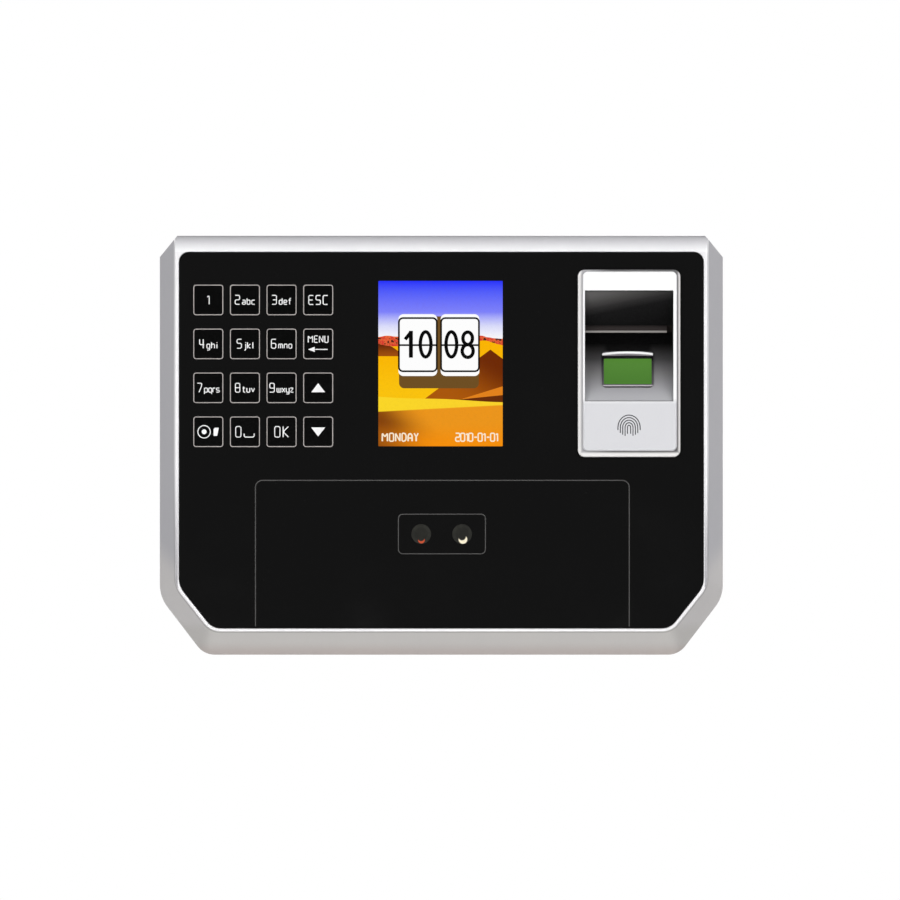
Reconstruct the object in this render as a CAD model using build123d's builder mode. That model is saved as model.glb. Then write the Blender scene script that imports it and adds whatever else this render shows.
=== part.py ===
from build123d import *
import math
import os

# Wall-mounted fingerprint and face terminal, in millimetres.
#
# +X is right and +Z is up as seen from the front.  The wall is the plane Y = 0 and
# the front faces -Y, so a "depth" is the distance from the wall: Y = -depth.
# Sketches on Plane.XZ.offset(depth) look at the front, and extrude towards it.
# The origin lies on the wall, in the middle of the plate's four fixing holes.

# --- Driving dimensions -------------------------------------------------------------

width, height = 195.0, 145.0          # whole housing, seen from the front
wall = 2.2                            # moulded wall thickness

case_back = 0.8                       # depths, from the wall forward
parting_depth = 24.0
facet_depth = 29.0
ledge_back = 32.9
ledge_depth = 34.9
panel_back = 35.4
panel_face = 37.4
rim_depth = 38.0
scanner_face = 40.0

top_cut = (6.2, 7.3)                  # straight-cut upper corners
foot_cut = (15.3, 20.0)               # large lower corners
side_facet, foot_facet = 5.55, 8.3    # width of the sloping facets
panel_size = (181.3, 130.0)
panel_top = 66.8
panel_cut = (11.5, 14.5)

screen_size = (43.0, 57.2)
screen_spot = (-0.28, 28.3)
lcd_size = (50.0, 69.2)
lcd_spot = (-0.28, 25.4)

key_rows = 4
key_pitch = (12.67, 15.2)
keypad_spot = (-61.6, 27.5)

camera_spacing, camera_height = 14.15, -30.65
camera_radius = 3.45

scanner_spot = (64.94, 28.38)
flange_size = (35.45, 64.8)
body_size = (33.8, 63.0)
recess_size = (30.54, 38.25)
recess_spot = (64.94, 34.41)
ramp_top, ramp_foot = (26.0, 35.5), (39.0, 15.46)     # (depth, height) of the finger ramp

plate_size = (140.0, 101.5)
plate_top = 45.0
plate_thickness = 1.5
fixing_pitch = (90.0, 60.0)
fixing_radius = 2.25
lift = 8.0                            # the terminal unhooks by this much

case_step = 0.6                       # the rear case is this much smaller all round
recess_floor = (4.5, 6.5)             # rear wall of the recess around the plate
board_depth, board_thickness = 14.4, 1.6
board_front = board_depth + board_thickness
frame_depth, frame_thickness = 29.3, 2.0
frame_front = frame_depth + frame_thickness

half_w, half_h = width / 2, height / 2


# --- Shared outlines and helpers ----------------------------------------------------

def both_sides(right_half):
    """Closed outline from its right half, which is listed from top to bottom."""
    return right_half + [(-x, z) for x, z in reversed(right_half)]


def outline(right_half, radii):
    """Sketch of a left-right symmetric outline with its corner radii."""
    with BuildSketch() as shape:
        with BuildLine():
            FilletPolyline(both_sides(right_half), radius=radii + radii[::-1], close=True)
        make_face()
    return shape.sketch


def depth_plane(depth):
    """Plane parallel to the wall at a depth, looking out of the front."""
    return Plane.XZ.offset(depth)


def slab(spot, size, depths, radius=0.0):
    """Flat rectangular piece between two depths."""
    with BuildPart() as piece:
        with BuildSketch(depth_plane(depths[0])):
            with Locations(spot):
                if radius:
                    RectangleRounded(*size, radius)
                else:
                    Rectangle(*size)
        extrude(amount=depths[1] - depths[0])
    return piece


def cross_head_screws(spots, seat, length, shank_radius, towards_wall=False):
    """Pan-head screws whose heads bear on the depth `seat`, as one group of solids."""
    drive = -1 if towards_wall else 1
    head_radius = 1.9 * shank_radius
    head_height = 1.3 * shank_radius
    with BuildPart() as screws:
        with BuildSketch(depth_plane(seat)):
            with Locations(*spots):
                Circle(head_radius)
        extrude(amount=-drive * head_height)
        with BuildSketch(depth_plane(seat)):
            with Locations(*spots):
                Circle(shank_radius)
        extrude(amount=drive * length)
        with BuildSketch(depth_plane(seat - drive * head_height)):
            with Locations(*spots):
                Rectangle(1.3 * head_radius, 0.3 * head_radius)
                Rectangle(0.3 * head_radius, 1.3 * head_radius)
        extrude(amount=drive * head_height * 0.55, mode=Mode.SUBTRACT)
    return screws


def ribbon(centre_x, ribbon_width, route, bend, thickness=0.2):
    """Flat flexible cable along a route of (depth, height) points."""
    with BuildPart() as strip:
        with BuildSketch(Plane.YZ.offset(centre_x)):
            with BuildLine():
                FilletPolyline([(-depth, z) for depth, z in route], radius=bend)
            trace(line_width=thickness)
        extrude(amount=ribbon_width / 2, both=True)
    return strip


case_right = [
    (half_w - top_cut[0], half_h),
    (half_w, half_h - top_cut[1]),
    (half_w, foot_cut[1] - half_h),
    (half_w - foot_cut[0], -half_h),
]
case_outline = outline(case_right, [0, 0, 12.5, 7.5])

# The front faces run on past the top here; the crown cut below trims them.
over_top = half_h + 8.0
rim_x, rim_foot = half_w - side_facet, foot_facet - half_h
rim_cut = (12.15, 15.3)
tall_case = outline([(half_w, over_top)] + case_right[2:], [0, 12.5, 7.5])
tall_rim = outline(
    [(rim_x, over_top), (rim_x, rim_foot + rim_cut[1]), (rim_x - rim_cut[0], rim_foot)],
    [0, 9.2, 7.2],
)

panel_x, panel_foot = panel_size[0] / 2, panel_top - panel_size[1]
panel_right = [
    (panel_x, panel_top),
    (panel_x, panel_foot + panel_cut[1]),
    (panel_x - panel_cut[0], panel_foot),
]
panel_outline = outline(panel_right, [3.4, 8.0, 6.0])

inner_front = outline(
    [
        (rim_x - 3.2, half_h - wall),
        (rim_x - 0.2, half_h - wall - 3.5),
        (rim_x - 0.2, rim_foot + rim_cut[1]),
        (rim_x - 0.2 - rim_cut[0], rim_foot + 0.2),
    ],
    [0, 0, 9.2, 7.2],
)

# Screws: the case screws run from the rear towers into the bezel's posts, and the
# frame screws hold the mid frame to shorter posts behind the panel ledge.
case_post_half = [(89.6, 56.0), (89.6, 2.0), (85.5, -52.5)]
case_posts = [(side * x, z) for side in (-1, 1) for x, z in case_post_half]
frame_post_half = [(89.3, 42.0), (89.3, -30.0), (30.0, 66.2), (42.0, -62.4)]
frame_posts = [(side * x, z) for side in (-1, 1) for x, z in frame_post_half]
board_boss_half = [(44.0, 16.0), (65.0, -57.0), (24.0, -57.0)]
board_bosses = [(side * x, z) for side in (-1, 1) for x, z in board_boss_half]
case_pilot, frame_pilot, board_pilot = 1.25, 0.9, 1.2


# --- Front bezel --------------------------------------------------------------------
# Moulded frame: sloping facets at the sides, foot and lower corners, a rolled top,
# a thin raised rim and a ledge inside for the panel.

roll_radius, roll_angle, edge_radius = 10.0, 26.0, 1.2
roll_rise = roll_radius * math.sin(math.radians(roll_angle))
roll_rise += edge_radius * (1 - math.sin(math.radians(roll_angle)))

with BuildPart() as front_bezel:
    with BuildSketch(depth_plane(facet_depth)):
        add(tall_case)
    with BuildSketch(depth_plane(rim_depth)):
        add(tall_rim)
    loft(ruled=True)
    rim_edges = front_bezel.faces().sort_by(Axis.Y)[0].edges()
    fillet([edge for edge in rim_edges if edge.center().Z < half_h], 0.45)
    with BuildSketch(depth_plane(parting_depth)):
        add(tall_case)
    extrude(amount=facet_depth - parting_depth)

    # Crown: flat top and straight-cut upper corners, then the rolled upper edge.
    with BuildSketch(depth_plane(0)):
        with BuildLine():
            Polyline(
                both_sides([
                    (half_w - top_cut[0], half_h),
                    (half_w + top_cut[0], half_h - 2 * top_cut[1]),
                    (half_w + top_cut[0], -height),
                ]),
                close=True,
            )
        make_face()
    extrude(amount=2 * rim_depth, mode=Mode.INTERSECT)
    with BuildSketch(Plane.YZ):
        with BuildLine():
            roll = JernArc((-rim_depth, half_h - roll_rise), (0, 1), roll_radius, -roll_angle)
            edge_arc = JernArc(roll @ 1, roll % 1, edge_radius, roll_angle - 90)
            Polyline(
                edge_arc @ 1,
                (-rim_depth + 6.0, half_h),
                (-rim_depth + 6.0, half_h + 4.0),
                (-rim_depth - 4.0, half_h + 4.0),
                (-rim_depth - 4.0, half_h - roll_rise),
                roll @ 0,
            )
        make_face()
    extrude(amount=width, both=True, mode=Mode.SUBTRACT)

    # Hollow behind the ledge, following the facets.
    with BuildSketch(depth_plane(parting_depth)):
        add(case_outline)
        offset(amount=-wall)
    extrude(amount=facet_depth - parting_depth, mode=Mode.SUBTRACT)
    with BuildSketch(depth_plane(facet_depth)):
        add(case_outline)
        offset(amount=-wall)
    with BuildSketch(depth_plane(ledge_back)):
        add(inner_front)
    loft(ruled=True, mode=Mode.SUBTRACT)

    # Posts, joined to the ledge, with blind pilot holes.
    with BuildSketch(depth_plane(parting_depth)):
        with Locations(*case_posts):
            Circle(3.0)
    extrude(amount=ledge_back + 0.3 - parting_depth)
    with BuildSketch(depth_plane(frame_front)):
        with Locations(*frame_posts):
            Circle(2.4)
    extrude(amount=ledge_back + 0.3 - frame_front)
    with BuildSketch(depth_plane(parting_depth)):
        with Locations(*case_posts):
            Circle(case_pilot)
    extrude(amount=9.5, mode=Mode.SUBTRACT)
    with BuildSketch(depth_plane(frame_front)):
        with Locations(*frame_posts):
            Circle(frame_pilot)
    extrude(amount=2.8, mode=Mode.SUBTRACT)

    # Opening inside the ledge, and the pocket that takes the panel.
    with BuildSketch(depth_plane(ledge_back)):
        add(panel_outline)
        offset(amount=-4.0)
    extrude(amount=rim_depth - ledge_back, mode=Mode.SUBTRACT)
    with BuildSketch(depth_plane(ledge_depth)):
        add(panel_outline)
        offset(amount=0.15)
    extrude(amount=rim_depth, mode=Mode.SUBTRACT)
    front_face = front_bezel.faces().filter_by(Axis.Y).sort_by(Axis.Y)[0]
    pocket_edges = [edge for wire in front_face.inner_wires() for edge in wire.edges()]
    fillet(pocket_edges, 0.3)

with BuildPart() as panel_gasket:
    with BuildSketch(depth_plane(ledge_depth)):
        add(panel_outline)
        offset(amount=-0.5)
        hole = offset(panel_outline, amount=-3.6, mode=Mode.PRIVATE)
        add(hole, mode=Mode.SUBTRACT)
    extrude(amount=panel_back - ledge_depth)


# --- Front panel and its windows ----------------------------------------------------

camera_spots = [(side * camera_spacing / 2 + 0.1, camera_height) for side in (-1, 1)]
scanner_hole = (body_size[0] + 0.4, body_size[1] + 0.4)

with BuildPart() as front_panel:
    with BuildSketch(depth_plane(panel_back)):
        add(panel_outline)
        with Locations(screen_spot):
            RectangleRounded(*screen_size, 0.3, mode=Mode.SUBTRACT)
        with Locations(scanner_spot):
            RectangleRounded(*scanner_hole, 2.2, mode=Mode.SUBTRACT)
        with Locations(*camera_spots):
            Circle(camera_radius, mode=Mode.SUBTRACT)
    extrude(amount=panel_face - panel_back)
    polished = front_panel.faces().sort_by(Axis.Y)[0]
    chamfer(polished.outer_wire().edges(), 0.2)

display_window = slab(screen_spot, (screen_size[0] - 0.1, screen_size[1] - 0.1),
                      (panel_back, panel_face), 0.28)

with BuildPart() as camera_windows:
    with BuildSketch(depth_plane(panel_back)):
        with Locations(*camera_spots):
            Circle(camera_radius - 0.05)
    extrude(amount=panel_face - panel_back - 0.05)


# --- Touch keypad -------------------------------------------------------------------

guide_depth, keypad_depth = 34.4, 32.8
keypad_board_spot = (-61.35, 27.0)
led_spots = GridLocations(2 * key_pitch[0], key_pitch[1], 2, key_rows).locations

keypad_board = slab(keypad_board_spot, (49.7, 62.0), (keypad_depth, guide_depth), 1.5)

with BuildPart() as keypad_light_guide:
    with BuildSketch(depth_plane(guide_depth)):
        with Locations(keypad_board_spot):
            RectangleRounded(49.2, 61.0, 1.5)
        with Locations(keypad_spot):
            with Locations(*led_spots):
                Rectangle(1.6, 3.4, mode=Mode.SUBTRACT)
    extrude(amount=panel_back - guide_depth)

with BuildPart() as keypad_leds:
    with BuildSketch(depth_plane(guide_depth)):
        with Locations(keypad_spot):
            with Locations(*led_spots):
                Rectangle(1.2, 3.0)
    extrude(amount=0.7)

keypad_ribbon = ribbon(-61.0, 12.0, [(32.1, 1.4), (32.1, -3.0), (17.0, -3.0), (17.0, -7.0)], 2.5)


# --- Display ------------------------------------------------------------------------

tray_back, backlight_depth, glass_depth, glass_face = 31.3, 31.6, 34.1, 35.1

lcd_backlight = slab(lcd_spot, lcd_size, (backlight_depth, glass_depth), 0.6)
lcd_glass = slab((lcd_spot[0], 27.0), (48.6, 66.0), (glass_depth, glass_face))

with BuildPart() as lcd_shield:
    with BuildSketch(depth_plane(tray_back)):
        with Locations(lcd_spot):
            RectangleRounded(lcd_size[0] + 0.9, lcd_size[1] + 0.9, 0.9)
    extrude(amount=3.4)
    with BuildSketch(depth_plane(backlight_depth)):
        with Locations(lcd_spot):
            RectangleRounded(lcd_size[0] + 0.1, lcd_size[1] + 0.1, 0.6)
    extrude(amount=3.4, mode=Mode.SUBTRACT)

with BuildPart() as lcd_gasket:
    with BuildSketch(depth_plane(glass_face)):
        with Locations(screen_spot):
            RectangleRounded(47.6, 62.0, 1.0)
            RectangleRounded(screen_size[0] + 0.8, screen_size[1] + 0.8, 0.6, mode=Mode.SUBTRACT)
    extrude(amount=panel_back - glass_face)

lcd_ribbon = ribbon(0.0, 20.0, [(31.2, 16.0), (31.2, 1.0), (17.0, 1.0), (17.0, -4.0)], 3.0)


# --- Face cameras and infrared lights -----------------------------------------------

ir_board_depth = 27.7
ir_spot, ir_size = (0.0, -33.0), (128.0, 38.0)
camera_board_depth = 26.1

with BuildPart() as ir_board:
    with BuildSketch(depth_plane(ir_board_depth)):
        with Locations(ir_spot):
            RectangleRounded(*ir_size, 2.0)
            with GridLocations(122.0, 32.0, 2, 2):
                Circle(1.1, mode=Mode.SUBTRACT)
        with Locations((0.0, camera_height)):
            RectangleRounded(27.0, 11.0, 1.0, mode=Mode.SUBTRACT)
            with GridLocations(36.0, 0.0, 2, 1):
                Circle(frame_pilot, mode=Mode.SUBTRACT)
    extrude(amount=frame_depth - ir_board_depth)

with BuildPart() as ir_leds:
    led_grid = [(side * x, ir_spot[1] + z) for side in (-1, 1)
                for x in (26.0, 36.0, 46.0) for z in (-12.0, -4.0, 4.0, 12.0)]
    with BuildSketch(depth_plane(frame_depth)):
        with Locations(*led_grid):
            Rectangle(3.5, 3.5)
    extrude(amount=0.8)
    with BuildSketch(depth_plane(frame_depth + 0.8)):
        with Locations(*led_grid):
            Circle(1.5)
    extrude(amount=1.1)
    domes = ir_leds.faces().filter_by(Axis.Y).group_by(Axis.Y)[0]
    fillet(domes.edges(), 0.9)

with BuildPart() as camera_board:
    with BuildSketch(depth_plane(camera_board_depth)):
        with Locations((0.0, camera_height)):
            RectangleRounded(41.0, 22.0, 1.5)
            with GridLocations(36.0, 0.0, 2, 1):
                Circle(1.1, mode=Mode.SUBTRACT)
    extrude(amount=ir_board_depth - camera_board_depth)

with BuildPart() as camera_barrels:
    with BuildSketch(depth_plane(ir_board_depth)):
        with Locations(*camera_spots):
            RectangleRounded(9.0, 9.0, 0.8)
    extrude(amount=3.0)
    with BuildSketch(depth_plane(ir_board_depth + 3.0)):
        with Locations(*camera_spots):
            Circle(3.6)
    extrude(amount=4.0)
    with BuildSketch(depth_plane(ir_board_depth + 4.6)):
        with Locations(*camera_spots):
            Circle(2.6)
    extrude(amount=4.0, mode=Mode.SUBTRACT)

with BuildPart() as camera_lenses:
    with BuildSketch(depth_plane(ir_board_depth + 4.6)):
        with Locations(*camera_spots):
            Circle(2.55)
    extrude(amount=2.0)
    domes = camera_lenses.faces().filter_by(Axis.Y).group_by(Axis.Y)[0]
    fillet(domes.edges(), 1.5)

with BuildPart() as camera_shroud:
    with BuildSketch(depth_plane(frame_depth)):
        with Locations((camera_spots[0][0] + camera_spacing / 2, camera_height)):
            RectangleRounded(30.1, 13.7, 1.5)
            RectangleRounded(27.7, 11.3, 1.0, mode=Mode.SUBTRACT)
    extrude(amount=panel_back - frame_depth)

camera_ribbon = ribbon(0.0, 9.0, [(25.2, -40.0), (25.2, -46.0), (17.0, -46.0), (17.0, -50.5)], 2.5)

with BuildPart() as board_ribbons:
    add(keypad_ribbon)
    add(lcd_ribbon)
    add(camera_ribbon)


# --- Mid frame ----------------------------------------------------------------------
# A flat moulding behind the panel that carries the display and the light board.

bracket_feet = [(41.5, 31.0), (87.4, 31.0)]
ir_screw_spots = [(side * 61.0, ir_spot[1] + z) for side in (-1, 1) for z in (-16.0, 16.0)]
camera_screw_spots = [(side * 18.0, camera_height) for side in (-1, 1)]

with BuildPart() as mid_frame:
    with BuildSketch(depth_plane(frame_depth)):
        add(inner_front)
        offset(amount=-0.4)
        with Locations(*case_posts):
            Circle(3.4, mode=Mode.SUBTRACT)
        with Locations(*frame_posts):
            Circle(1.1, mode=Mode.SUBTRACT)
        with Locations(scanner_spot):
            RectangleRounded(34.8, 64.0, 2.4, mode=Mode.SUBTRACT)
        with Locations((ir_spot[0], ir_spot[1])):
            RectangleRounded(116.0, 32.0, 2.0, mode=Mode.SUBTRACT)
        with Locations(*ir_screw_spots, *bracket_feet):
            Circle(frame_pilot, mode=Mode.SUBTRACT)
        with Locations((0.0, 6.0)):
            RectangleRounded(26.0, 24.0, 1.5, mode=Mode.SUBTRACT)
        with Locations((-61.0, 0.0)):
            RectangleRounded(18.0, 14.0, 1.5, mode=Mode.SUBTRACT)
        with Locations((-61.35, 34.0)):
            RectangleRounded(40.0, 40.0, 3.0, mode=Mode.SUBTRACT)
    extrude(amount=frame_thickness)
    # Low walls that locate the display.
    with BuildSketch(depth_plane(frame_front)):
        with Locations(lcd_spot):
            RectangleRounded(lcd_size[0] + 4.4, lcd_size[1] + 4.4, 2.0)
            RectangleRounded(lcd_size[0] + 1.2, lcd_size[1] + 1.2, 1.0, mode=Mode.SUBTRACT)
    extrude(amount=2.6)

ledge_screws = cross_head_screws(frame_posts, frame_depth, 4.6, frame_pilot)
optics_screws = cross_head_screws(ir_screw_spots, ir_board_depth, 3.4, frame_pilot)
with BuildPart() as frame_screws:
    add(ledge_screws)
    add(optics_screws)
    add(cross_head_screws(camera_screw_spots, camera_board_depth, 3.0, frame_pilot))


# --- Fingerprint scanner ------------------------------------------------------------
# A module of its own: housing with a flange over the panel, a cradle with a hood and
# a finger ramp, an optical prism in the ramp, and the sensor board behind.

ramp_run = (ramp_foot[0] - ramp_top[0], ramp_top[1] - ramp_foot[1])
ramp_tilt = math.atan2(*ramp_run)
window_x, window_height = 64.53, 26.15
window_depth = ramp_top[0] + ramp_run[0] * (ramp_top[1] - window_height) / ramp_run[1]
ramp_plane = Plane(
    origin=(window_x, -window_depth, window_height),
    x_dir=(1, 0, 0),
    z_dir=(0, -math.cos(ramp_tilt), math.sin(ramp_tilt)),
)
gasket_thickness = 0.2
flange_face = 38.7
housing_back = 22.0
hollow_size = (recess_size[0] + 0.16, 59.6)
corner_posts = [
    (scanner_spot[0] + across * 13.0, scanner_spot[1] + up * 28.0)
    for across in (-1, 1)
    for up in (-1, 1)
]

with BuildPart() as scanner_gasket:
    with BuildSketch(depth_plane(panel_face)):
        with Locations(scanner_spot):
            RectangleRounded(flange_size[0] - 0.3, flange_size[1] - 0.3, 2.2)
            RectangleRounded(body_size[0] + 0.3, body_size[1] + 0.3, 2.1, mode=Mode.SUBTRACT)
    extrude(amount=gasket_thickness)

with BuildPart() as scanner_housing:
    with BuildSketch(depth_plane(panel_face + gasket_thickness)):
        with Locations(scanner_spot):
            RectangleRounded(*flange_size, 2.4)
    extrude(amount=flange_face - panel_face - gasket_thickness)
    fillet(scanner_housing.faces().sort_by(Axis.Y)[0].edges(), 0.5)
    with BuildSketch(depth_plane(flange_face)):
        with Locations((65.17, 29.07)):
            RectangleRounded(32.6, 62.1, 1.8)
    extrude(amount=scanner_face - flange_face)
    fillet(scanner_housing.faces().sort_by(Axis.Y)[0].edges(), 0.7)
    with BuildSketch(depth_plane(housing_back)):
        with Locations(scanner_spot):
            RectangleRounded(*body_size, 2.0)
    extrude(amount=panel_face + gasket_thickness - housing_back)
    with BuildSketch(depth_plane(housing_back)):
        with Locations(scanner_spot):
            RectangleRounded(*hollow_size, 1.0)
    extrude(amount=37.6 - housing_back, mode=Mode.SUBTRACT)
    with BuildSketch(depth_plane(housing_back)):
        with Locations(*corner_posts):
            Circle(2.3)
    extrude(amount=37.8 - housing_back)
    with BuildSketch(depth_plane(housing_back)):
        with Locations(*corner_posts):
            Circle(frame_pilot)
    extrude(amount=6.0, mode=Mode.SUBTRACT)
    with BuildSketch(depth_plane(37.0)):
        with Locations(recess_spot):
            RectangleRounded(*recess_size, 0.15)
    extrude(amount=6.0, mode=Mode.SUBTRACT)
    mouth = scanner_housing.faces().filter_by(Axis.Y).sort_by(Axis.Y)[0]
    fillet([edge for wire in mouth.inner_wires() for edge in wire.edges()], 0.35)

lip_spot, lip_radius = (34.15, 40.05), 1.35
cradle_width = 30.5

cradle_profile = [
    (38.9, 53.36), (34.0, 41.0), (33.0, 39.2), (27.6, 40.6), ramp_top, ramp_foot,
    (37.5, ramp_foot[1]), (37.5, 14.4), (24.2, 34.6), (25.6, 42.4), (32.0, 42.4), (36.8, 53.36),
]

with BuildPart() as scanner_cradle:
    with BuildSketch(Plane.YZ.offset(scanner_spot[0])):
        with BuildLine():
            Polyline([(-depth, z) for depth, z in cradle_profile], close=True)
        make_face()
    extrude(amount=cradle_width / 2, both=True)
    with BuildSketch(Plane.YZ.offset(scanner_spot[0] - cradle_width / 2)):
        with Locations((-lip_spot[0], lip_spot[1])):
            Circle(lip_radius)
    extrude(amount=cradle_width - 2.0)
    with BuildSketch(ramp_plane.offset(-6.0)):
        with Locations((0.0, -1.05)):
            Rectangle(16.7, 10.9)
    extrude(amount=12.0, mode=Mode.SUBTRACT)

with BuildPart() as scanner_window_frame:
    with BuildSketch(ramp_plane):
        RectangleRounded(17.7, 14.7, 1.3)
    extrude(amount=0.8)
    out_of_ramp = Axis((0, 0, 0), tuple(ramp_plane.z_dir))
    fillet(scanner_window_frame.faces().sort_by(out_of_ramp)[-1].edges(), 0.3)
    with BuildSketch(ramp_plane):
        with Locations((0.0, -1.05)):
            RectangleRounded(16.6, 10.8, 0.5)
    extrude(amount=2.0, mode=Mode.SUBTRACT)

with BuildPart() as scanner_prism:
    with BuildSketch(ramp_plane.offset(-3.8)):
        with Locations((0.0, -1.05)):
            RectangleRounded(16.5, 10.7, 0.5)
    extrude(amount=4.3)
    back_edge = scanner_prism.edges().filter_by(Axis.X).sort_by(Axis.Y)[-1]
    chamfer(back_edge, 0.45)

cover_back, cover_floor = 17.4, 18.7
scanner_board_depth = 19.0

with BuildPart() as scanner_back_cover:
    with BuildSketch(depth_plane(cover_back)):
        with Locations(scanner_spot):
            RectangleRounded(*body_size, 2.0)
    extrude(amount=housing_back - cover_back)
    with BuildSketch(depth_plane(cover_floor)):
        with Locations(scanner_spot):
            RectangleRounded(*hollow_size, 1.0)
    extrude(amount=housing_back - cover_floor, mode=Mode.SUBTRACT)
    with BuildSketch(depth_plane(cover_floor)):
        with Locations(*corner_posts):
            Circle(2.3)
    extrude(amount=housing_back - cover_floor)
    with BuildSketch(depth_plane(cover_back)):
        with Locations(*corner_posts):
            Circle(frame_pilot)
    extrude(amount=housing_back - cover_back, mode=Mode.SUBTRACT)
    with BuildSketch(depth_plane(19.6)):
        with Locations((scanner_spot[0], scanner_spot[1] - body_size[1] / 2)):
            Rectangle(12.0, 6.0)
    extrude(amount=2.4, mode=Mode.SUBTRACT)

with BuildPart() as scanner_board:
    with BuildSketch(depth_plane(scanner_board_depth)):
        with Locations(scanner_spot):
            RectangleRounded(29.6, 58.6, 1.0)
        with Locations(*corner_posts):
            Circle(2.6, mode=Mode.SUBTRACT)
    extrude(amount=1.4)

with BuildPart() as scanner_lens:
    with BuildSketch(depth_plane(scanner_board_depth + 1.4)):
        with Locations((scanner_spot[0], 26.0)):
            RectangleRounded(9.0, 9.0, 0.6)
    extrude(amount=1.6)
    with BuildSketch(depth_plane(scanner_board_depth + 3.0)):
        with Locations((scanner_spot[0], 26.0)):
            Circle(2.8)
    extrude(amount=2.4)
    fillet(scanner_lens.faces().sort_by(Axis.Y)[0].edges(), 0.8)

with BuildPart() as scanner_leds:
    with BuildSketch(depth_plane(scanner_board_depth + 1.4)):
        with Locations((scanner_spot[0], 14.0)):
            with GridLocations(6.0, 0.0, 4, 1):
                Rectangle(2.8, 3.5)
    extrude(amount=1.6)

cover_screws = cross_head_screws(corner_posts, cover_back, 10.0, frame_pilot)
scanner_ribbon_route = [(20.5, 4.0), (20.5, -6.5), (17.1, -6.5), (17.1, -11.0)]
scanner_ribbon = ribbon(scanner_spot[0], 8.0, scanner_ribbon_route, 1.5)

# The bracket is a steel strap round the back of the module, screwed to the mid frame.
strap, strap_back, strap_width = 1.2, 16.2, 12.0
strap_left, strap_right = 46.3, 83.6
with BuildPart() as scanner_bracket:
    with BuildSketch(Plane.XY.offset(31.0 - strap_width / 2)):
        with BuildLine():
            Polyline(
                (38.5, -frame_depth),
                (38.5, -frame_depth + strap),
                (strap_left - strap, -frame_depth + strap),
                (strap_left - strap, -strap_back),
                (strap_right + strap, -strap_back),
                (strap_right + strap, -frame_depth + strap),
                (90.4, -frame_depth + strap),
                (90.4, -frame_depth),
                (strap_right, -frame_depth),
                (strap_right, -strap_back - strap),
                (strap_left, -strap_back - strap),
                (strap_left, -frame_depth),
                close=True,
            )
        make_face()
    extrude(amount=strap_width)
    with BuildSketch(depth_plane(frame_depth - strap)):
        with Locations(*bracket_feet):
            Circle(1.1)
    extrude(amount=strap, mode=Mode.SUBTRACT)
    fillet(scanner_bracket.edges().filter_by(Axis.Z).sort_by(Axis.Y)[-2:], 1.0)

bracket_screws = cross_head_screws(bracket_feet, frame_depth - strap, 3.1, frame_pilot)
with BuildPart() as scanner_screws:
    add(cover_screws)
    add(bracket_screws)


# --- Main board and what stands on it -----------------------------------------------

board_size = (142.0, 82.0)
board_spot = (0.0, -21.0)
tamper_spot = (0.0, 28.0)
tamper_floor = board_depth - 2.4
bay_size, bay_spot = (84.0, 52.0), (0.0, -16.0)

with BuildPart() as main_board:
    with BuildSketch(depth_plane(board_depth)):
        with Locations(board_spot):
            RectangleRounded(*board_size, 2.0)
        with Locations((0.0, 26.0)):
            RectangleRounded(22.0, 20.0, 1.5)
        with Locations(*board_bosses):
            Circle(1.6, mode=Mode.SUBTRACT)
    extrude(amount=board_thickness)

with BuildPart() as main_chips:
    with BuildSketch(depth_plane(board_front)):
        with Locations((-22.0, -24.0)):
            Rectangle(15.0, 15.0)
        with Locations((-42.0, -22.0)):
            Rectangle(10.0, 13.0)
        with Locations((-8.0, -36.0)):
            Rectangle(12.0, 8.0)
        with Locations((30.0, -8.0)):
            Rectangle(7.0, 7.0)
    extrude(amount=1.2)
    with BuildSketch(depth_plane(keypad_depth)):
        with Locations((-61.35, 34.0)):
            Rectangle(9.0, 9.0)
    extrude(amount=-1.0)

with BuildPart() as shield_can:
    with BuildSketch(depth_plane(board_front)):
        with Locations((28.0, -28.0)):
            RectangleRounded(30.0, 22.0, 1.0)
    extrude(amount=3.2)
    with BuildSketch(depth_plane(board_front)):
        with Locations((28.0, -28.0)):
            RectangleRounded(29.2, 21.2, 0.7)
    extrude(amount=2.8, mode=Mode.SUBTRACT)

with BuildPart() as capacitors:
    capacitor_spots = [(-36.0, -46.0), (-28.0, -46.0), (50.0, -42.0)]
    with BuildSketch(depth_plane(board_front)):
        with Locations(*capacitor_spots):
            RectangleRounded(6.8, 6.8, 1.0)
    extrude(amount=0.9)
    with BuildSketch(depth_plane(board_front + 0.9)):
        with Locations(*capacitor_spots):
            Circle(3.15)
    extrude(amount=6.6)
    tops = capacitors.faces().filter_by(Axis.Y).group_by(Axis.Y)[0]
    fillet(tops.edges(), 0.5)

relay = slab((-55.0, -42.0), (20.0, 10.2), (board_front, board_front + 10.4), 0.6)

with BuildPart() as coin_cell:
    with BuildSketch(depth_plane(board_front + 1.2)):
        with Locations((24.0, 5.0)):
            Circle(8.0)
    extrude(amount=2.0)
    fillet(coin_cell.edges().filter_by(GeomType.CIRCLE), 0.4)

with BuildPart() as coin_cell_holder:
    with BuildSketch(depth_plane(board_front)):
        with Locations((24.0, 5.0)):
            Circle(9.6)
    extrude(amount=3.4)
    with BuildSketch(depth_plane(board_front + 1.2)):
        with Locations((24.0, 5.0)):
            Circle(8.1)
        with Locations((24.0, 13.0)):
            Rectangle(7.0, 8.0)
    extrude(amount=3.0, mode=Mode.SUBTRACT)

with BuildPart() as buzzer:
    with BuildSketch(depth_plane(board_front)):
        with Locations((18.0, -49.0)):
            Circle(6.0)
    extrude(amount=6.5)
    with BuildSketch(depth_plane(board_front + 6.5)):
        with Locations((18.0, -49.0)):
            Circle(1.2)
    extrude(amount=-2.0, mode=Mode.SUBTRACT)

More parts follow.
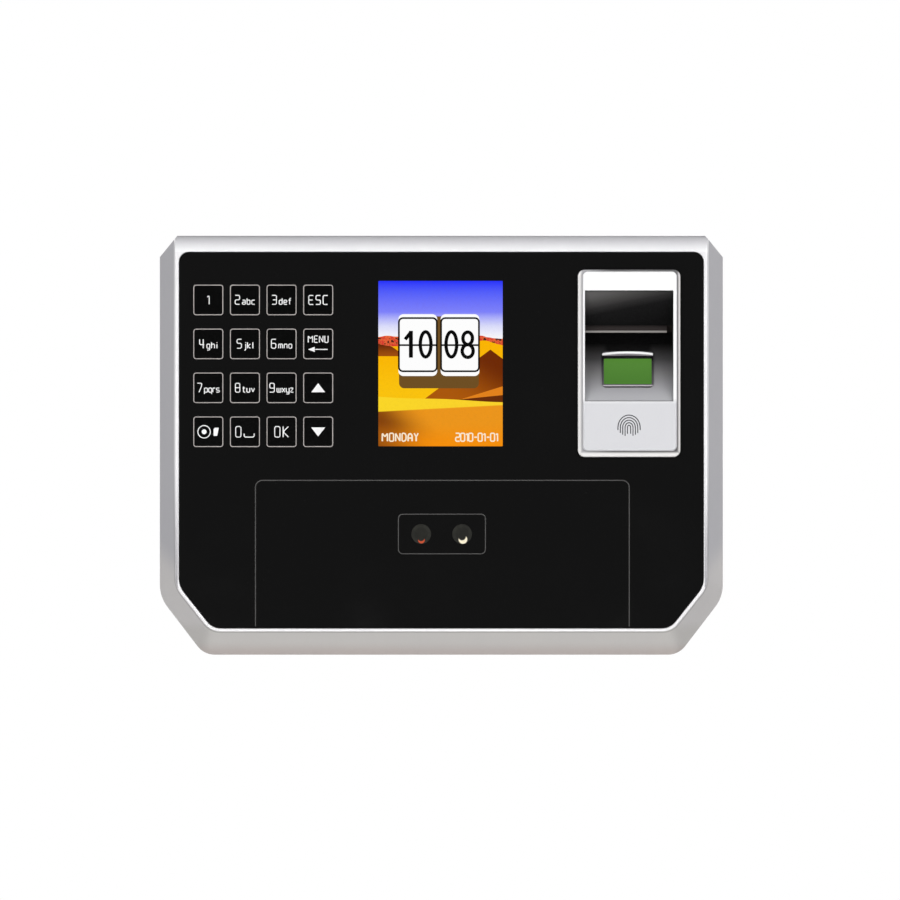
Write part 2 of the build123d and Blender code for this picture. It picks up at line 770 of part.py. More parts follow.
# Sockets for the flat ribbons: each ribbon's end touches the socket's upper side.
socket_places = [(0.0, -4.0, 22.0), (-61.0, -7.0, 14.0), (0.0, -50.5, 11.0), (64.94, -11.0, 10.0)]

with BuildPart() as ribbon_sockets:
    for x, top, socket_width in socket_places:
        with BuildSketch(depth_plane(board_front)):
            with Locations((x, top - 2.2)):
                Rectangle(socket_width, 4.4)
        extrude(amount=2.0)
    with BuildSketch(depth_plane(keypad_depth)):
        with Locations((-61.0, 3.7)):
            Rectangle(14.0, 4.6)
    extrude(amount=-1.4)
    with BuildSketch(depth_plane(camera_board_depth)):
        with Locations((0.0, -37.8)):
            Rectangle(11.0, 4.4)
    extrude(amount=-1.6)

board_screws = cross_head_screws(board_bosses, board_front, 7.0, board_pilot, towards_wall=True)


# --- Connectors in the bay, reached from behind -------------------------------------

with BuildPart() as ethernet_jack:
    with BuildSketch(depth_plane(2.9)):
        with Locations((-20.5, -3.6)):
            Rectangle(16.0, 21.2)
    extrude(amount=board_depth - 2.9)
    mouth_plane = Plane(origin=(-20.5, -8.9, -14.2), x_dir=(1, 0, 0), z_dir=(0, 0, 1))
    with BuildSketch(mouth_plane):
        Rectangle(11.8, 7.0)
        with Locations((0.0, 4.2)):
            Rectangle(6.0, 1.6)
    extrude(amount=13.0, mode=Mode.SUBTRACT)

with BuildPart() as power_jack:
    with BuildSketch(depth_plane(3.4)):
        with Locations((-35.2, -0.5)):
            RectangleRounded(9.0, 14.0, 0.6)
    extrude(amount=board_depth - 3.4)
    jack_plane = Plane(origin=(-35.2, -8.4, -7.5), x_dir=(1, 0, 0), z_dir=(0, 0, 1))
    with BuildSketch(jack_plane):
        Circle(3.1)
        Circle(1.0, mode=Mode.SUBTRACT)
    extrude(amount=9.0, mode=Mode.SUBTRACT)

terminal_pitch = 3.81
with BuildPart() as terminal_blocks:
    for block_x, ways in [(6.0, 6), (28.6, 4)]:
        with BuildSketch(depth_plane(4.4)):
            with Locations((block_x, 2.2)):
                Rectangle(ways * terminal_pitch, 8.4)
        extrude(amount=board_depth - 4.4)
        with BuildSketch(depth_plane(4.4)):
            with Locations((block_x, 3.0)):
                with GridLocations(terminal_pitch, 1.0, ways, 1):
                    Circle(1.4)
        extrude(amount=1.4, mode=Mode.SUBTRACT)
        entry_plane = Plane(origin=(block_x, -9.6, -2.0), x_dir=(1, 0, 0), z_dir=(0, 0, 1))
        with BuildSketch(entry_plane):
            with GridLocations(terminal_pitch, 1.0, ways, 1):
                Rectangle(2.6, 2.8)
        extrude(amount=5.0, mode=Mode.SUBTRACT)

with BuildPart() as terminal_screws:
    for block_x, ways in [(6.0, 6), (28.6, 4)]:
        with BuildSketch(depth_plane(4.8)):
            with Locations((block_x, 3.0)):
                with GridLocations(terminal_pitch, 1.0, ways, 1):
                    Circle(1.35)
                    Rectangle(2.2, 0.5, mode=Mode.SUBTRACT)
        extrude(amount=1.0)


# --- Tamper switch, reset button ----------------------------------------------------

plunger_radius, flange_radius, stem_radius = 2.0, 3.2, 1.1
plunger_end, flange_start = 0.1, 7.4
reset_spot = (30.0, -30.0)

with BuildPart() as push_switches:
    with BuildSketch(depth_plane(tamper_floor)):
        with Locations(tamper_spot):
            RectangleRounded(6.6, 6.6, 0.6)
    extrude(amount=board_depth - tamper_floor)
    with BuildSketch(depth_plane(10.9)):
        with Locations(reset_spot):
            RectangleRounded(6.0, 6.0, 0.4)
    extrude(amount=board_depth - 10.9)
    with BuildSketch(depth_plane(10.9)):
        with Locations(reset_spot):
            Circle(1.75)
    extrude(amount=1.0, mode=Mode.SUBTRACT)

with BuildPart() as reset_button:
    with BuildSketch(depth_plane(8.2)):
        with Locations(reset_spot):
            Circle(1.7)
    extrude(amount=11.4 - 8.2)
    fillet(reset_button.faces().sort_by(Axis.Y)[-1].edges(), 0.4)

with BuildPart() as tamper_plunger:
    with BuildSketch(depth_plane(plunger_end)):
        with Locations(tamper_spot):
            Circle(plunger_radius)
    extrude(amount=flange_start - plunger_end)
    fillet(tamper_plunger.faces().sort_by(Axis.Y)[-1].edges(), 0.8)
    with BuildSketch(depth_plane(flange_start)):
        with Locations(tamper_spot):
            Circle(flange_radius)
    extrude(amount=1.0)
    with BuildSketch(depth_plane(flange_start + 1.0)):
        with Locations(tamper_spot):
            Circle(stem_radius)
    extrude(amount=2.6)

spring_start, spring_wire, spring_radius = flange_start + 1.0, 0.22, 1.9
spring_length = tamper_floor - spring_start - 2 * spring_wire
with BuildPart() as tamper_spring:
    with BuildLine() as coil:
        Helix(
            pitch=spring_length / 3.5,
            height=spring_length,
            radius=spring_radius,
            center=(tamper_spot[0], -spring_start - spring_wire, tamper_spot[1]),
            direction=(0, -1, 0),
        )
    with BuildSketch(Plane(origin=coil.line @ 0, z_dir=coil.line % 0)):
        Circle(spring_wire)
    sweep(is_frenet=True)


# --- Speaker behind the left wall ---------------------------------------------------

speaker_height, speaker_depth = 28.0, 13.0
inner_wall_x = case_step + wall - half_w
side_plane = Plane(
    origin=(inner_wall_x, -speaker_depth, speaker_height),
    x_dir=(0, 1, 0),
    z_dir=(1, 0, 0),
)

with BuildPart() as speaker_frame:
    with BuildSketch(side_plane):
        RectangleRounded(18.0, 28.0, 3.0)
        RectangleRounded(14.6, 24.6, 5.0, mode=Mode.SUBTRACT)
    extrude(amount=1.6)
    with BuildSketch(side_plane.offset(1.6)):
        RectangleRounded(18.0, 28.0, 3.0)
    extrude(amount=1.6)
    with BuildSketch(side_plane.offset(3.2)):
        Circle(6.5)
    extrude(amount=2.4)

with BuildPart() as speaker_cone:
    with BuildSketch(side_plane.offset(0.4)):
        RectangleRounded(14.4, 24.4, 4.9)
    extrude(amount=0.8)
    with BuildSketch(side_plane.offset(0.4)):
        Circle(4.0)
    extrude(amount=0.5, mode=Mode.SUBTRACT)


# --- USB port and its hinged cover --------------------------------------------------

usb_x, usb_depth = 50.8, 18.9
usb_size = (13.2, 5.8)
case_foot = case_step - half_h
hinge_depth, hinge_height = 14.9, case_foot + 0.7
knuckle_radius, pin_radius = 1.1, 0.5
cover_width = 19.4
speaker_wall = Plane(
    origin=(-half_w, -speaker_depth, speaker_height),
    x_dir=(0, 1, 0),
    z_dir=(1, 0, 0),
)
foot_plane = Plane(origin=(usb_x, -usb_depth, case_foot), x_dir=(1, 0, 0), z_dir=(0, 0, 1))
hinge_plane = Plane(origin=(usb_x, -hinge_depth, hinge_height), x_dir=(0, 1, 0), z_dir=(1, 0, 0))

with BuildPart() as usb_port:
    with BuildSketch(foot_plane.offset(1.5)):
        Rectangle(*usb_size)
    extrude(amount=14.0)
    with BuildSketch(foot_plane.offset(1.5)):
        Rectangle(usb_size[0] - 0.8, usb_size[1] - 0.8)
    extrude(amount=11.0, mode=Mode.SUBTRACT)
    with BuildSketch(foot_plane.offset(7.2)):
        with Locations((0.0, -1.3)):
            Rectangle(11.0, 1.6)
    extrude(amount=6.0)

with BuildPart() as usb_cover:
    with BuildSketch(foot_plane):
        with Locations((0.0, 0.15)):
            Rectangle(cover_width, 7.7)
    extrude(amount=1.3)
    fillet(usb_cover.edges().filter_by(Axis.Z).sort_by(Axis.Y)[:2], 1.2)
    with BuildSketch(hinge_plane):
        Circle(knuckle_radius)
    extrude(amount=cover_width / 2, both=True)
    with BuildSketch(foot_plane.offset(1.3)):
        with Locations((0.0, 0.0)):
            RectangleRounded(11.4, 3.8, 0.5)
    extrude(amount=0.9)
    with BuildSketch(hinge_plane):
        Circle(pin_radius + 0.05)
    extrude(amount=cover_width, both=True, mode=Mode.SUBTRACT)

with BuildPart() as usb_cover_pin:
    with BuildSketch(hinge_plane):
        Circle(pin_radius)
    extrude(amount=cover_width / 2 + 1.6, both=True)


# --- Rear case ----------------------------------------------------------------------

recess_box, recess_centre = (144.0, 112.5), (0.0, -9.75)
hook_x, hook_heights, hook_width = 60.0, (28.0, -24.0), 10.0
hook_spots = [(side * hook_x, z) for side in (-1, 1) for z in hook_heights]
hook_thickness = 1.5
lock_depth = 9.0
tab_bottom = plate_top - plate_size[1]
tower_bottom = 16.0

with BuildPart() as rear_case:
    with BuildSketch(depth_plane(case_back)):
        add(case_outline)
        offset(amount=-case_step)
    extrude(amount=parting_depth - case_back)
    fillet(rear_case.faces().sort_by(Axis.Y)[-1].edges(), 2.4)

    # Hollow: full size down to the recess floor, then a trough round the recess.
    with BuildSketch(depth_plane(recess_floor[1])):
        add(case_outline)
        offset(amount=-case_step - wall)
    extrude(amount=parting_depth, mode=Mode.SUBTRACT)
    with BuildSketch(depth_plane(case_back + wall)):
        add(case_outline)
        offset(amount=-case_step - wall)
        with Locations(recess_centre):
            RectangleRounded(recess_box[0] + 4.0, recess_box[1] + 4.0, 5.0, mode=Mode.SUBTRACT)
    extrude(amount=recess_floor[1] - case_back - wall, mode=Mode.SUBTRACT)
    with BuildSketch(depth_plane(0)):
        with Locations(recess_centre):
            RectangleRounded(*recess_box, 4.0)
    extrude(amount=recess_floor[0], mode=Mode.SUBTRACT)

    # Ribs that stand on the plate, towers, board bosses, and the walls of the bay.
    with BuildSketch(depth_plane(plate_thickness + 0.2)):
        with Locations((-50.0, -10.0), (50.0, -10.0)):
            RectangleRounded(2.0, 26.0, 0.9)
    extrude(amount=recess_floor[0] - plate_thickness)
    with BuildSketch(depth_plane(case_back + 1.0)):
        with Locations(*case_posts):
            Circle(4.2)
    extrude(amount=parting_depth - case_back - 1.0)
    with BuildSketch(depth_plane(recess_floor[1] - 0.5)):
        with Locations(*board_bosses):
            Circle(3.0)
    extrude(amount=board_depth - recess_floor[1] + 0.5)
    with BuildSketch(depth_plane(recess_floor[1] - 0.5)):
        with Locations(bay_spot):
            RectangleRounded(bay_size[0] + 3.2, bay_size[1] + 3.2, 3.0)
            RectangleRounded(*bay_size, 1.5, mode=Mode.SUBTRACT)
    extrude(amount=board_depth - recess_floor[1] + 0.3)
    # Boss for the lock screw, which enters from below.
    with BuildSketch(Plane.XY.offset(case_foot + 1.0)):
        with Locations((0.0, -lock_depth)):
            Circle(4.4)
    extrude(amount=4.9)

    # Openings in the recess floor.
    with BuildSketch(depth_plane(0)):
        with Locations(bay_spot):
            RectangleRounded(*bay_size, 1.5)
        for x, z in hook_spots:
            with Locations((x, z - lift / 2 - 0.2)):
                Rectangle(hook_width + 1.0, lift + hook_thickness + 0.6)
        with Locations((0.0, tab_bottom - lift / 2 + 0.6)):
            Rectangle(15.2, lift + 3.0)
        with Locations(tamper_spot):
            Circle(plunger_radius + 0.08)
    extrude(amount=recess_floor[1], mode=Mode.SUBTRACT)

    # Screw holes.
    with BuildSketch(depth_plane(0)):
        with Locations(*case_posts):
            Circle(3.1)
    extrude(amount=tower_bottom, mode=Mode.SUBTRACT)
    with BuildSketch(depth_plane(0)):
        with Locations(*case_posts):
            Circle(1.6)
    extrude(amount=parting_depth + 1.0, mode=Mode.SUBTRACT)
    with BuildSketch(depth_plane(board_depth)):
        with Locations(*board_bosses):
            Circle(board_pilot)
    extrude(amount=-6.2, mode=Mode.SUBTRACT)
    with BuildSketch(Plane.XY.offset(case_foot)):
        with Locations((0.0, -lock_depth)):
            Circle(3.2)
    extrude(amount=2.5, mode=Mode.SUBTRACT)
    with BuildSketch(Plane.XY.offset(case_foot)):
        with Locations((0.0, -lock_depth)):
            Circle(1.6)
    extrude(amount=10.0, mode=Mode.SUBTRACT)

    # USB mouth, the pocket that its cover closes, the hinge's groove and the pin's hole.
    with BuildSketch(foot_plane):
        Rectangle(usb_size[0] + 0.4, usb_size[1] + 0.4)
    extrude(amount=3.0, mode=Mode.SUBTRACT)
    with BuildSketch(foot_plane.offset(-1.0)):
        with Locations((0.0, -0.15)):
            Rectangle(cover_width + 0.4, 9.0)
    extrude(amount=2.4, mode=Mode.SUBTRACT)
    with BuildSketch(hinge_plane):
        Circle(knuckle_radius + 0.25)
    extrude(amount=cover_width / 2 + 0.2, both=True, mode=Mode.SUBTRACT)
    with BuildSketch(hinge_plane):
        Circle(pin_radius)
    extrude(amount=cover_width / 2 + 1.6, both=True, mode=Mode.SUBTRACT)

    # Speaker slots in the left wall, and vent slots in the top.
    with BuildSketch(speaker_wall):
        with GridLocations(1.0, 3.2, 1, 7):
            SlotOverall(13.0, 1.4)
    extrude(amount=case_step + wall + 0.1, mode=Mode.SUBTRACT)
    with BuildSketch(Plane(origin=(0.0, -13.0, half_h), x_dir=(1, 0, 0), z_dir=(0, 0, -1))):
        with GridLocations(4.0, 1.0, 14, 1):
            SlotOverall(10.0, 1.6, rotation=90)
    extrude(amount=case_step + wall + 0.1, mode=Mode.SUBTRACT)

case_screws = cross_head_screws(case_posts, tower_bottom, 16.0, case_pilot)

with BuildPart() as lock_screw:
    with BuildSketch(Plane.XY.offset(case_foot + 2.5)):
        with Locations((0.0, -lock_depth)):
            Circle(2.8)
            RegularPolygon(1.3, 6, mode=Mode.SUBTRACT)
    extrude(amount=-2.2)
    with BuildSketch(Plane.XY.offset(case_foot + 1.4)):
        with Locations((0.0, -lock_depth)):
            Circle(1.5)
    extrude(amount=18.4)


# --- Wall plate ---------------------------------------------------------------------
# Pressed steel: four fixing holes, a cable window, four lanced hooks that the rear case
# drops onto, and a folded tab that the lock screw passes through.

cable_window, cable_spot = (76.0, 48.0), (0.0, -16.0)
hook_reach, hook_rise = 8.3, 5.75

with BuildPart() as wall_plate:
    with BuildSketch(depth_plane(0)):
        with Locations((0.0, plate_top - plate_size[1] / 2)):
            RectangleRounded(*plate_size, 4.0)
        with Locations(cable_spot):
            RectangleRounded(*cable_window, 3.0, mode=Mode.SUBTRACT)
        with Locations((tamper_spot[0], tamper_spot[1] + lift / 2)):
            SlotOverall(lift + 8.0, 8.0, rotation=90, mode=Mode.SUBTRACT)
        for x, z in hook_spots:
            with Locations((x, z + hook_thickness / 2 + 6.0)):
                Rectangle(hook_width + 0.8, 12.0, mode=Mode.SUBTRACT)
        with GridLocations(*fixing_pitch, 2, 2):
            Circle(fixing_radius, mode=Mode.SUBTRACT)
    extrude(amount=plate_thickness)
    for x, z in hook_spots:
        with BuildSketch(Plane.YZ.offset(x)):
            with BuildLine():
                FilletPolyline(
                    (0.0, z - hook_thickness / 2),
                    (-hook_reach, z - hook_thickness / 2),
                    (-hook_reach, z + hook_rise),
                    (-hook_reach + hook_thickness, z + hook_rise),
                    (-hook_reach + hook_thickness, z + hook_thickness / 2),
                    (0.0, z + hook_thickness / 2),
                    radius=[0, 1.8, 0.4, 0.4, 0.3, 0],
                    close=True,
                )
            make_face()
        extrude(amount=hook_width / 2, both=True)
    with BuildSketch(Plane.XY.offset(tab_bottom)):
        with Locations((0.0, -6.0)):
            Rectangle(14.0, 12.0)
        with Locations((0.0, -lock_depth)):
            Circle(1.75, mode=Mode.SUBTRACT)
    extrude(amount=plate_thickness)
    fillet(wall_plate.edges().filter_by(Axis.Z).group_by(Axis.Y)[0], 2.0)


# --- Export -------------------------------------------------------------------------

pieces = {
    "wall_plate": wall_plate,
    "rear_case": rear_case,
    "case_screws": case_screws,
    "lock_screw": lock_screw,
    "front_bezel": front_bezel,
    "panel_gasket": panel_gasket,
    "front_panel": front_panel,
    "display_window": display_window,
    "camera_windows": camera_windows,
    "keypad_light_guide": keypad_light_guide,
    "keypad_board": keypad_board,
    "keypad_leds": keypad_leds,
    "lcd_glass": lcd_glass,
    "lcd_backlight": lcd_backlight,
    "lcd_shield": lcd_shield,
    "lcd_gasket": lcd_gasket,
    "ir_board": ir_board,
    "ir_leds": ir_leds,
    "camera_board": camera_board,
    "camera_barrels": camera_barrels,
    "camera_lenses": camera_lenses,
    "camera_shroud": camera_shroud,
    "board_ribbons": board_ribbons,
    "mid_frame": mid_frame,
    "frame_screws": frame_screws,
    "scanner_gasket": scanner_gasket,
    "scanner_housing": scanner_housing,
    "scanner_cradle": scanner_cradle,
    "scanner_window_frame": scanner_window_frame,
    "scanner_prism": scanner_prism,
    "scanner_lens": scanner_lens,
    "scanner_leds": scanner_leds,
    "scanner_board": scanner_board,
    "scanner_back_cover": scanner_back_cover,
    "scanner_bracket": scanner_bracket,
    "scanner_screws": scanner_screws,
    "scanner_ribbon": scanner_ribbon,
    "main_board": main_board,
    "main_chips": main_chips,
    "shield_can": shield_can,
    "capacitors": capacitors,
    "relay": relay,
    "coin_cell": coin_cell,
    "coin_cell_holder": coin_cell_holder,
    "buzzer": buzzer,
    "ribbon_sockets": ribbon_sockets,
    "board_screws": board_screws,
    "ethernet_jack": ethernet_jack,
    "power_jack": power_jack,
    "terminal_blocks": terminal_blocks,
    "terminal_screws": terminal_screws,
    "push_switches": push_switches,
    "reset_button": reset_button,
    "tamper_plunger": tamper_plunger,
    "tamper_spring": tamper_spring,
    "speaker_frame": speaker_frame,
    "speaker_cone": speaker_cone,
    "usb_port": usb_port,
    "usb_cover": usb_cover,
    "usb_cover_pin": usb_cover_pin,
}

os.makedirs("parts", exist_ok=True)
for name, piece in pieces.items():
    piece.part.label = name
    export_step(piece.part, f"parts/{name}.step")
print(len(pieces), "sub-parts")
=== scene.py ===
import math

import bpy
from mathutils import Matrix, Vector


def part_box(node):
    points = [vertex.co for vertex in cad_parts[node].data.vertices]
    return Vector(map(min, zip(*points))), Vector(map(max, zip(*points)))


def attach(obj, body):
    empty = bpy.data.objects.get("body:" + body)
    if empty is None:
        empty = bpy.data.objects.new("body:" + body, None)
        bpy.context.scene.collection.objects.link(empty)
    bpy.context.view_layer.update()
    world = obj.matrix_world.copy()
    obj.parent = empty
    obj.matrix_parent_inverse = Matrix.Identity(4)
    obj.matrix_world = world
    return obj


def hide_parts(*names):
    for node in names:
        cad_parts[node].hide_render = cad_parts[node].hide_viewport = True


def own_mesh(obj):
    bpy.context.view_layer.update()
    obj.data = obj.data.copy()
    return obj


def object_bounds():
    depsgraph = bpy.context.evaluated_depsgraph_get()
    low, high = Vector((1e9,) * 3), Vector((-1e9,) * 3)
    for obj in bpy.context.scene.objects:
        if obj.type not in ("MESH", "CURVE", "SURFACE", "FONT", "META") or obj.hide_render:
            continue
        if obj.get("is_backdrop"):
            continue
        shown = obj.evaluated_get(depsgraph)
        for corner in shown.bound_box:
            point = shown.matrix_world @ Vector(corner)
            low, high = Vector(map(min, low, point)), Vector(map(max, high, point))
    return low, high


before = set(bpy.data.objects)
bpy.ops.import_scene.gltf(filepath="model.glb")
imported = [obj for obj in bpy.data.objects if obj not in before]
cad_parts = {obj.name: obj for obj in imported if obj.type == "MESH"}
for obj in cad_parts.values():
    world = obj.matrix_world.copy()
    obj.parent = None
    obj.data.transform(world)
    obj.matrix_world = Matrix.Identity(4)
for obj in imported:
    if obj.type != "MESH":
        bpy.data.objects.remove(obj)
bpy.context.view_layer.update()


# ------------------------------------------------------------------ wall plate
# Zinc-plated steel sheet, screwed to the wall through four holes. Its hooks are lanced
# and folded out of the sheet, and the tab at its foot takes the lock screw.

mm = 0.001


def tint(red, green, blue):
    """A linear colour from the 0 to 255 values of a colour chart."""
    parts = [value / 255 for value in (red, green, blue)]
    linear = [p / 12.92 if p <= 0.04045 else ((p + 0.055) / 1.055) ** 2.4 for p in parts]
    return (*linear, 1.0)


def shift(colour, factor):
    """The same colour, lighter or darker."""
    return (*[min(1.0, part * factor) for part in colour[:3]], 1.0)


def operator(operation, swapped=False):
    """What a sign such as + does to a Tone, and with swapped, its reflected form."""

    def reckoned(self, other):
        return self.reckon(operation, *((other, self) if swapped else (self, other)))

    return reckoned


class Tone:
    """A value or colour that varies over a surface. Sums on it add their Math nodes."""

    def __init__(self, bench, socket):
        self.bench = bench
        self.socket = socket

    def __getitem__(self, name):
        return Tone(self.bench, self.socket.node.outputs[name])

    def reckon(self, operation, *terms):
        return self.bench.make("ShaderNodeMath", {"operation": operation}, dict(enumerate(terms)))

    __add__, __radd__ = operator("ADD"), operator("ADD", swapped=True)
    __sub__, __rsub__ = operator("SUBTRACT"), operator("SUBTRACT", swapped=True)
    __mul__, __rmul__ = operator("MULTIPLY"), operator("MULTIPLY", swapped=True)
    __truediv__, __pow__ = operator("DIVIDE"), operator("POWER")
    __gt__, __lt__ = operator("GREATER_THAN"), operator("LESS_THAN")

    def __abs__(self):
        return self.reckon("ABSOLUTE", self)

    def wave(self):
        return self.reckon("SINE", self)

    def repeat(self, length):
        return self.reckon("PINGPONG", self, length)

    def ease(self, start, end):
        """0 at start and 1 at end, with a soft run between them."""
        return self.bench.make(
            "ShaderNodeMapRange",
            {"interpolation_type": "SMOOTHSTEP"},
            {"Value": self, "From Min": start, "From Max": end},
        )


class Bench:
    """A node tree and the one method that puts nodes on it."""

    def __init__(self, tree):
        self.tree = tree

    def make(self, kind, settings=None, sockets=None):
        node = self.tree.nodes.new(kind)
        for name, value in (settings or {}).items():
            if name == "stops":
                stops = node.color_ramp.elements
                stops.remove(stops[1])
                stops[0].position, stops[0].color = value[0]
                for place, colour in value[1:]:
                    stops.new(place).color = colour
            else:
                setattr(node, name, value)
        for name, value in (sockets or {}).items():
            if isinstance(value, Tone):
                self.tree.links.new(value.socket, node.inputs[name])
            else:
                node.inputs[name].default_value = value
        shown = [socket for socket in node.outputs if socket.enabled]
        return Tone(self, shown[0]) if shown else node

    def ramp(self, place, *stops):
        """Colours from 0 to 1 along a place, each stop its position and its tint."""
        stops = [(stop[0], tint(*stop[1:])) for stop in stops]
        return self.make("ShaderNodeValToRGB", {"stops": stops}, {"Fac": place})["Color"]

    def blend(self, mask, first, second):
        """One colour over another, by a mask."""
        return self.make("ShaderNodeMix", {"data_type": "RGBA"}, {0: mask, 6: first, 7: second})


class Finish(Bench):
    """A surface finish on the solid's own coordinates, with sizes in millimetres."""

    def __init__(self, name, **fixed):
        self.material = bpy.data.materials.new(name)
        self.material.use_nodes = True
        super().__init__(self.material.node_tree)
        self.shader = self.tree.nodes["Principled BSDF"]
        self.where = self.make("ShaderNodeTexCoord")["Object"]
        for socket, value in fixed.items():
            self.shader.inputs[socket.replace("_", " ")].default_value = value

    def feed(self, **tones):
        for name, tone in tones.items():
            socket = self.shader.inputs[name.replace("_", " ")]
            if isinstance(tone, Tone):
                self.tree.links.new(tone.socket, socket)
            else:
                socket.default_value = tone
        return self

    def stretched(self, *scale):
        return self.make("ShaderNodeMapping", {}, {"Vector": self.where, "Scale": scale})

    def noise(self, size, detail=2.0, where=None):
        sockets = {"Vector": where or self.where, "Scale": 1 / (size * mm), "Detail": detail}
        return self.make("ShaderNodeTexNoise", {}, sockets)["Fac"]

    def cells(self, size):
        sockets = {"Vector": self.where, "Scale": 1 / (size * mm)}
        return self.make("ShaderNodeTexVoronoi", {"feature": "F1"}, sockets)

    def flakes(self, size):
        """A flat random value on each small cell."""
        return self.make("ShaderNodeSeparateColor", {}, {0: self.cells(size)["Color"]})

    def base(self):
        """The colour that the surface has so far."""
        return Tone(self, self.shader.inputs["Base Color"].links[0].from_socket)

    def axes(self):
        """Place across, out from the wall and up, in millimetres."""
        parts = self.make("ShaderNodeSeparateXYZ", {}, {0: self.where})
        return parts["X"] / mm, parts["Y"] / -mm, parts["Z"] / mm

    def corner(self, radius):
        """The normal with its sharp edges rounded, and how near to an edge a point is."""
        rounded = self.make("ShaderNodeBevel", {"samples": 4}, {"Radius": radius * mm})
        flat = self.make("ShaderNodeNewGeometry")["Normal"]
        dot = {"operation": "DOT_PRODUCT"}
        match = self.make("ShaderNodeVectorMath", dot, {0: rounded, 1: flat})
        return rounded, (1.0 - match["Value"]).ease(0.02, 0.25)

    def relief(self, height, depth, normal=None):
        sockets = {"Height": height, "Distance": depth * mm}
        if normal:
            sockets["Normal"] = normal
        return self.make("ShaderNodeBump", {}, sockets)


def bare_metal(name, colour, rough, edge=0.0, brush=(1, 1, 1), speck=1.2):
    """Plated or rolled metal, with brush lines, a mottled plating and bright rubbed edges."""
    finish = Finish(name, Metallic=1.0)
    cloud = finish.noise(9.0, 4.0)
    lines = finish.noise(speck, 3.0, finish.stretched(*brush))
    shade = finish.blend(cloud.ease(0.3, 0.7), shift(colour, 0.82), shift(colour, 1.08))
    normal = None
    if edge:
        normal, worn = finish.corner(edge)
        shade = finish.blend(worn * lines.ease(0.25, 0.6), shade, shift(colour, 1.45))
    return finish.feed(
        Base_Color=shade,
        Roughness=rough + (lines - 0.5) * 0.3 + (cloud - 0.5) * 0.1,
        Normal=finish.relief(lines, 0.012, normal),
    )


def coat(finish, *nodes):
    """Gives carried-over solids their finish."""
    for node in nodes:
        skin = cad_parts[node].data.materials
        skin.clear()
        skin.append(finish.material)


zinc = bare_metal("zinc_plating", tint(172, 176, 181), 0.56, 0.35, (1, 1, 9), 3.0)
zinc.feed(Base_Color=zinc.blend(zinc.flakes(7.0) * 0.3, zinc.base(), tint(140, 146, 154)))
coat(zinc, "wall_plate")


# ------------------------------------------------------------------- rear case
# Dark grey ABS, injection moulded with a spark-eroded grain on every outside face. It
# holds the main board on bosses, and it is open behind at the connector bay.


def moulded(name, colour, rough, grain=0.45, grain_depth=0.02, edge=0.0, **fixed):
    """Moulded plastic with an eroded grain, faint flow marks and rubbed edges."""
    finish = Finish(name, **fixed)
    flow = finish.noise(22.0, 3.0, finish.stretched(1, 1, 0.4))
    pits = finish.noise(grain, 2.0)
    dust = finish.noise(3.0, 5.0).ease(0.55, 0.8)
    shade = finish.blend(flow.ease(0.3, 0.7), shift(colour, 0.93), shift(colour, 1.06))
    shade = finish.blend(dust * 0.18, shade, shift(colour, 1.3))
    normal = None
    if edge:
        normal, worn = finish.corner(edge)
        shade = finish.blend(worn * pits.ease(0.3, 0.65) * 0.5, shade, shift(colour, 1.6))
    return finish.feed(
        Base_Color=shade,
        Roughness=rough + (pits - 0.5) * 0.16 + dust * 0.12,
        Normal=finish.relief(pits, grain_depth, normal),
    )


coat(moulded("case_plastic", tint(70, 71, 75), 0.55, 0.5, 0.035, 0.4), "rear_case")


# ----------------------------------------------------------------- case screws
# Zinc-plated pan-head screws for thermoplastic with a cross recess, driven from behind
# through the towers. The longer lock screw comes up through the foot into the plate's tab.

screw_zinc = bare_metal("screw_zinc", tint(176, 178, 180), 0.3, 0.12, (1, 7, 1), 0.7)
coat(screw_zinc, "case_screws", "lock_screw", "terminal_screws")
coat(screw_zinc, "board_screws", "frame_screws", "scanner_screws")


# ---------------------------------------------------------------- front bezel
# ABS frame, moulded in one piece and sprayed with a silver paint. Its facets slope back
# to the case. Their greys are painted shade and light, with a painted shadow under the
# rim at the foot, a painted highlight on the rim and painted shade up the rolled crown.

silver = Finish("bezel_silver", Coat_Weight=0.25, Coat_Roughness=0.12, Specular_IOR_Level=0.35)
across, out, up = silver.axes()
sparkle = silver.flakes(0.16)
mist = silver.noise(26.0, 3.0)
soft_edge, rubbed = silver.corner(0.3)
rim_depth, crown_foot, crown_height = 36.95, 66.8, 5.7
# Painted shade and light: the facets, the corner chamfers and the foot each get their own grey
# for how light falls on them.
corner = (abs(across) - up).ease(128.0, 140.0) * abs(across).ease(70.0, 80.0)
facet_painted_shade = silver.blend(corner, tint(188, 187, 190), tint(208, 205, 203))
facet_painted_shade = silver.blend(up.ease(-60.0, -65.0), facet_painted_shade, tint(198, 195, 191))
facet_painted_shade = silver.blend(up.ease(-67.5, -72.0), facet_painted_shade, tint(186, 176, 171))
# Painted shadow: a dark line just under the rim towards the foot.
lowered = up.ease(0.0, -46.0)
past_rim = out - rim_depth - lowered * 0.75
painted_shadow_under_rim = (past_rim.ease(-0.55, -0.25) - past_rim.ease(-0.15, 0.1)) * lowered
facet_painted_shade = silver.blend(painted_shadow_under_rim * 0.45, facet_painted_shade, tint(120, 117, 115))
on_rim = past_rim.ease(0.0, 0.3)
# Painted shade on the rim at the sides, so that only a thin lit line shows.
rim_side_painted_shade = abs(across).ease(90.9, 91.3) * lowered * on_rim
facet_painted_shade = silver.blend(rim_side_painted_shade, facet_painted_shade, tint(156, 155, 158))
# Painted highlight: the front of the rim is painted near white.
bright = silver.blend(on_rim * (1 - rim_side_painted_shade), facet_painted_shade, tint(232, 231, 232))
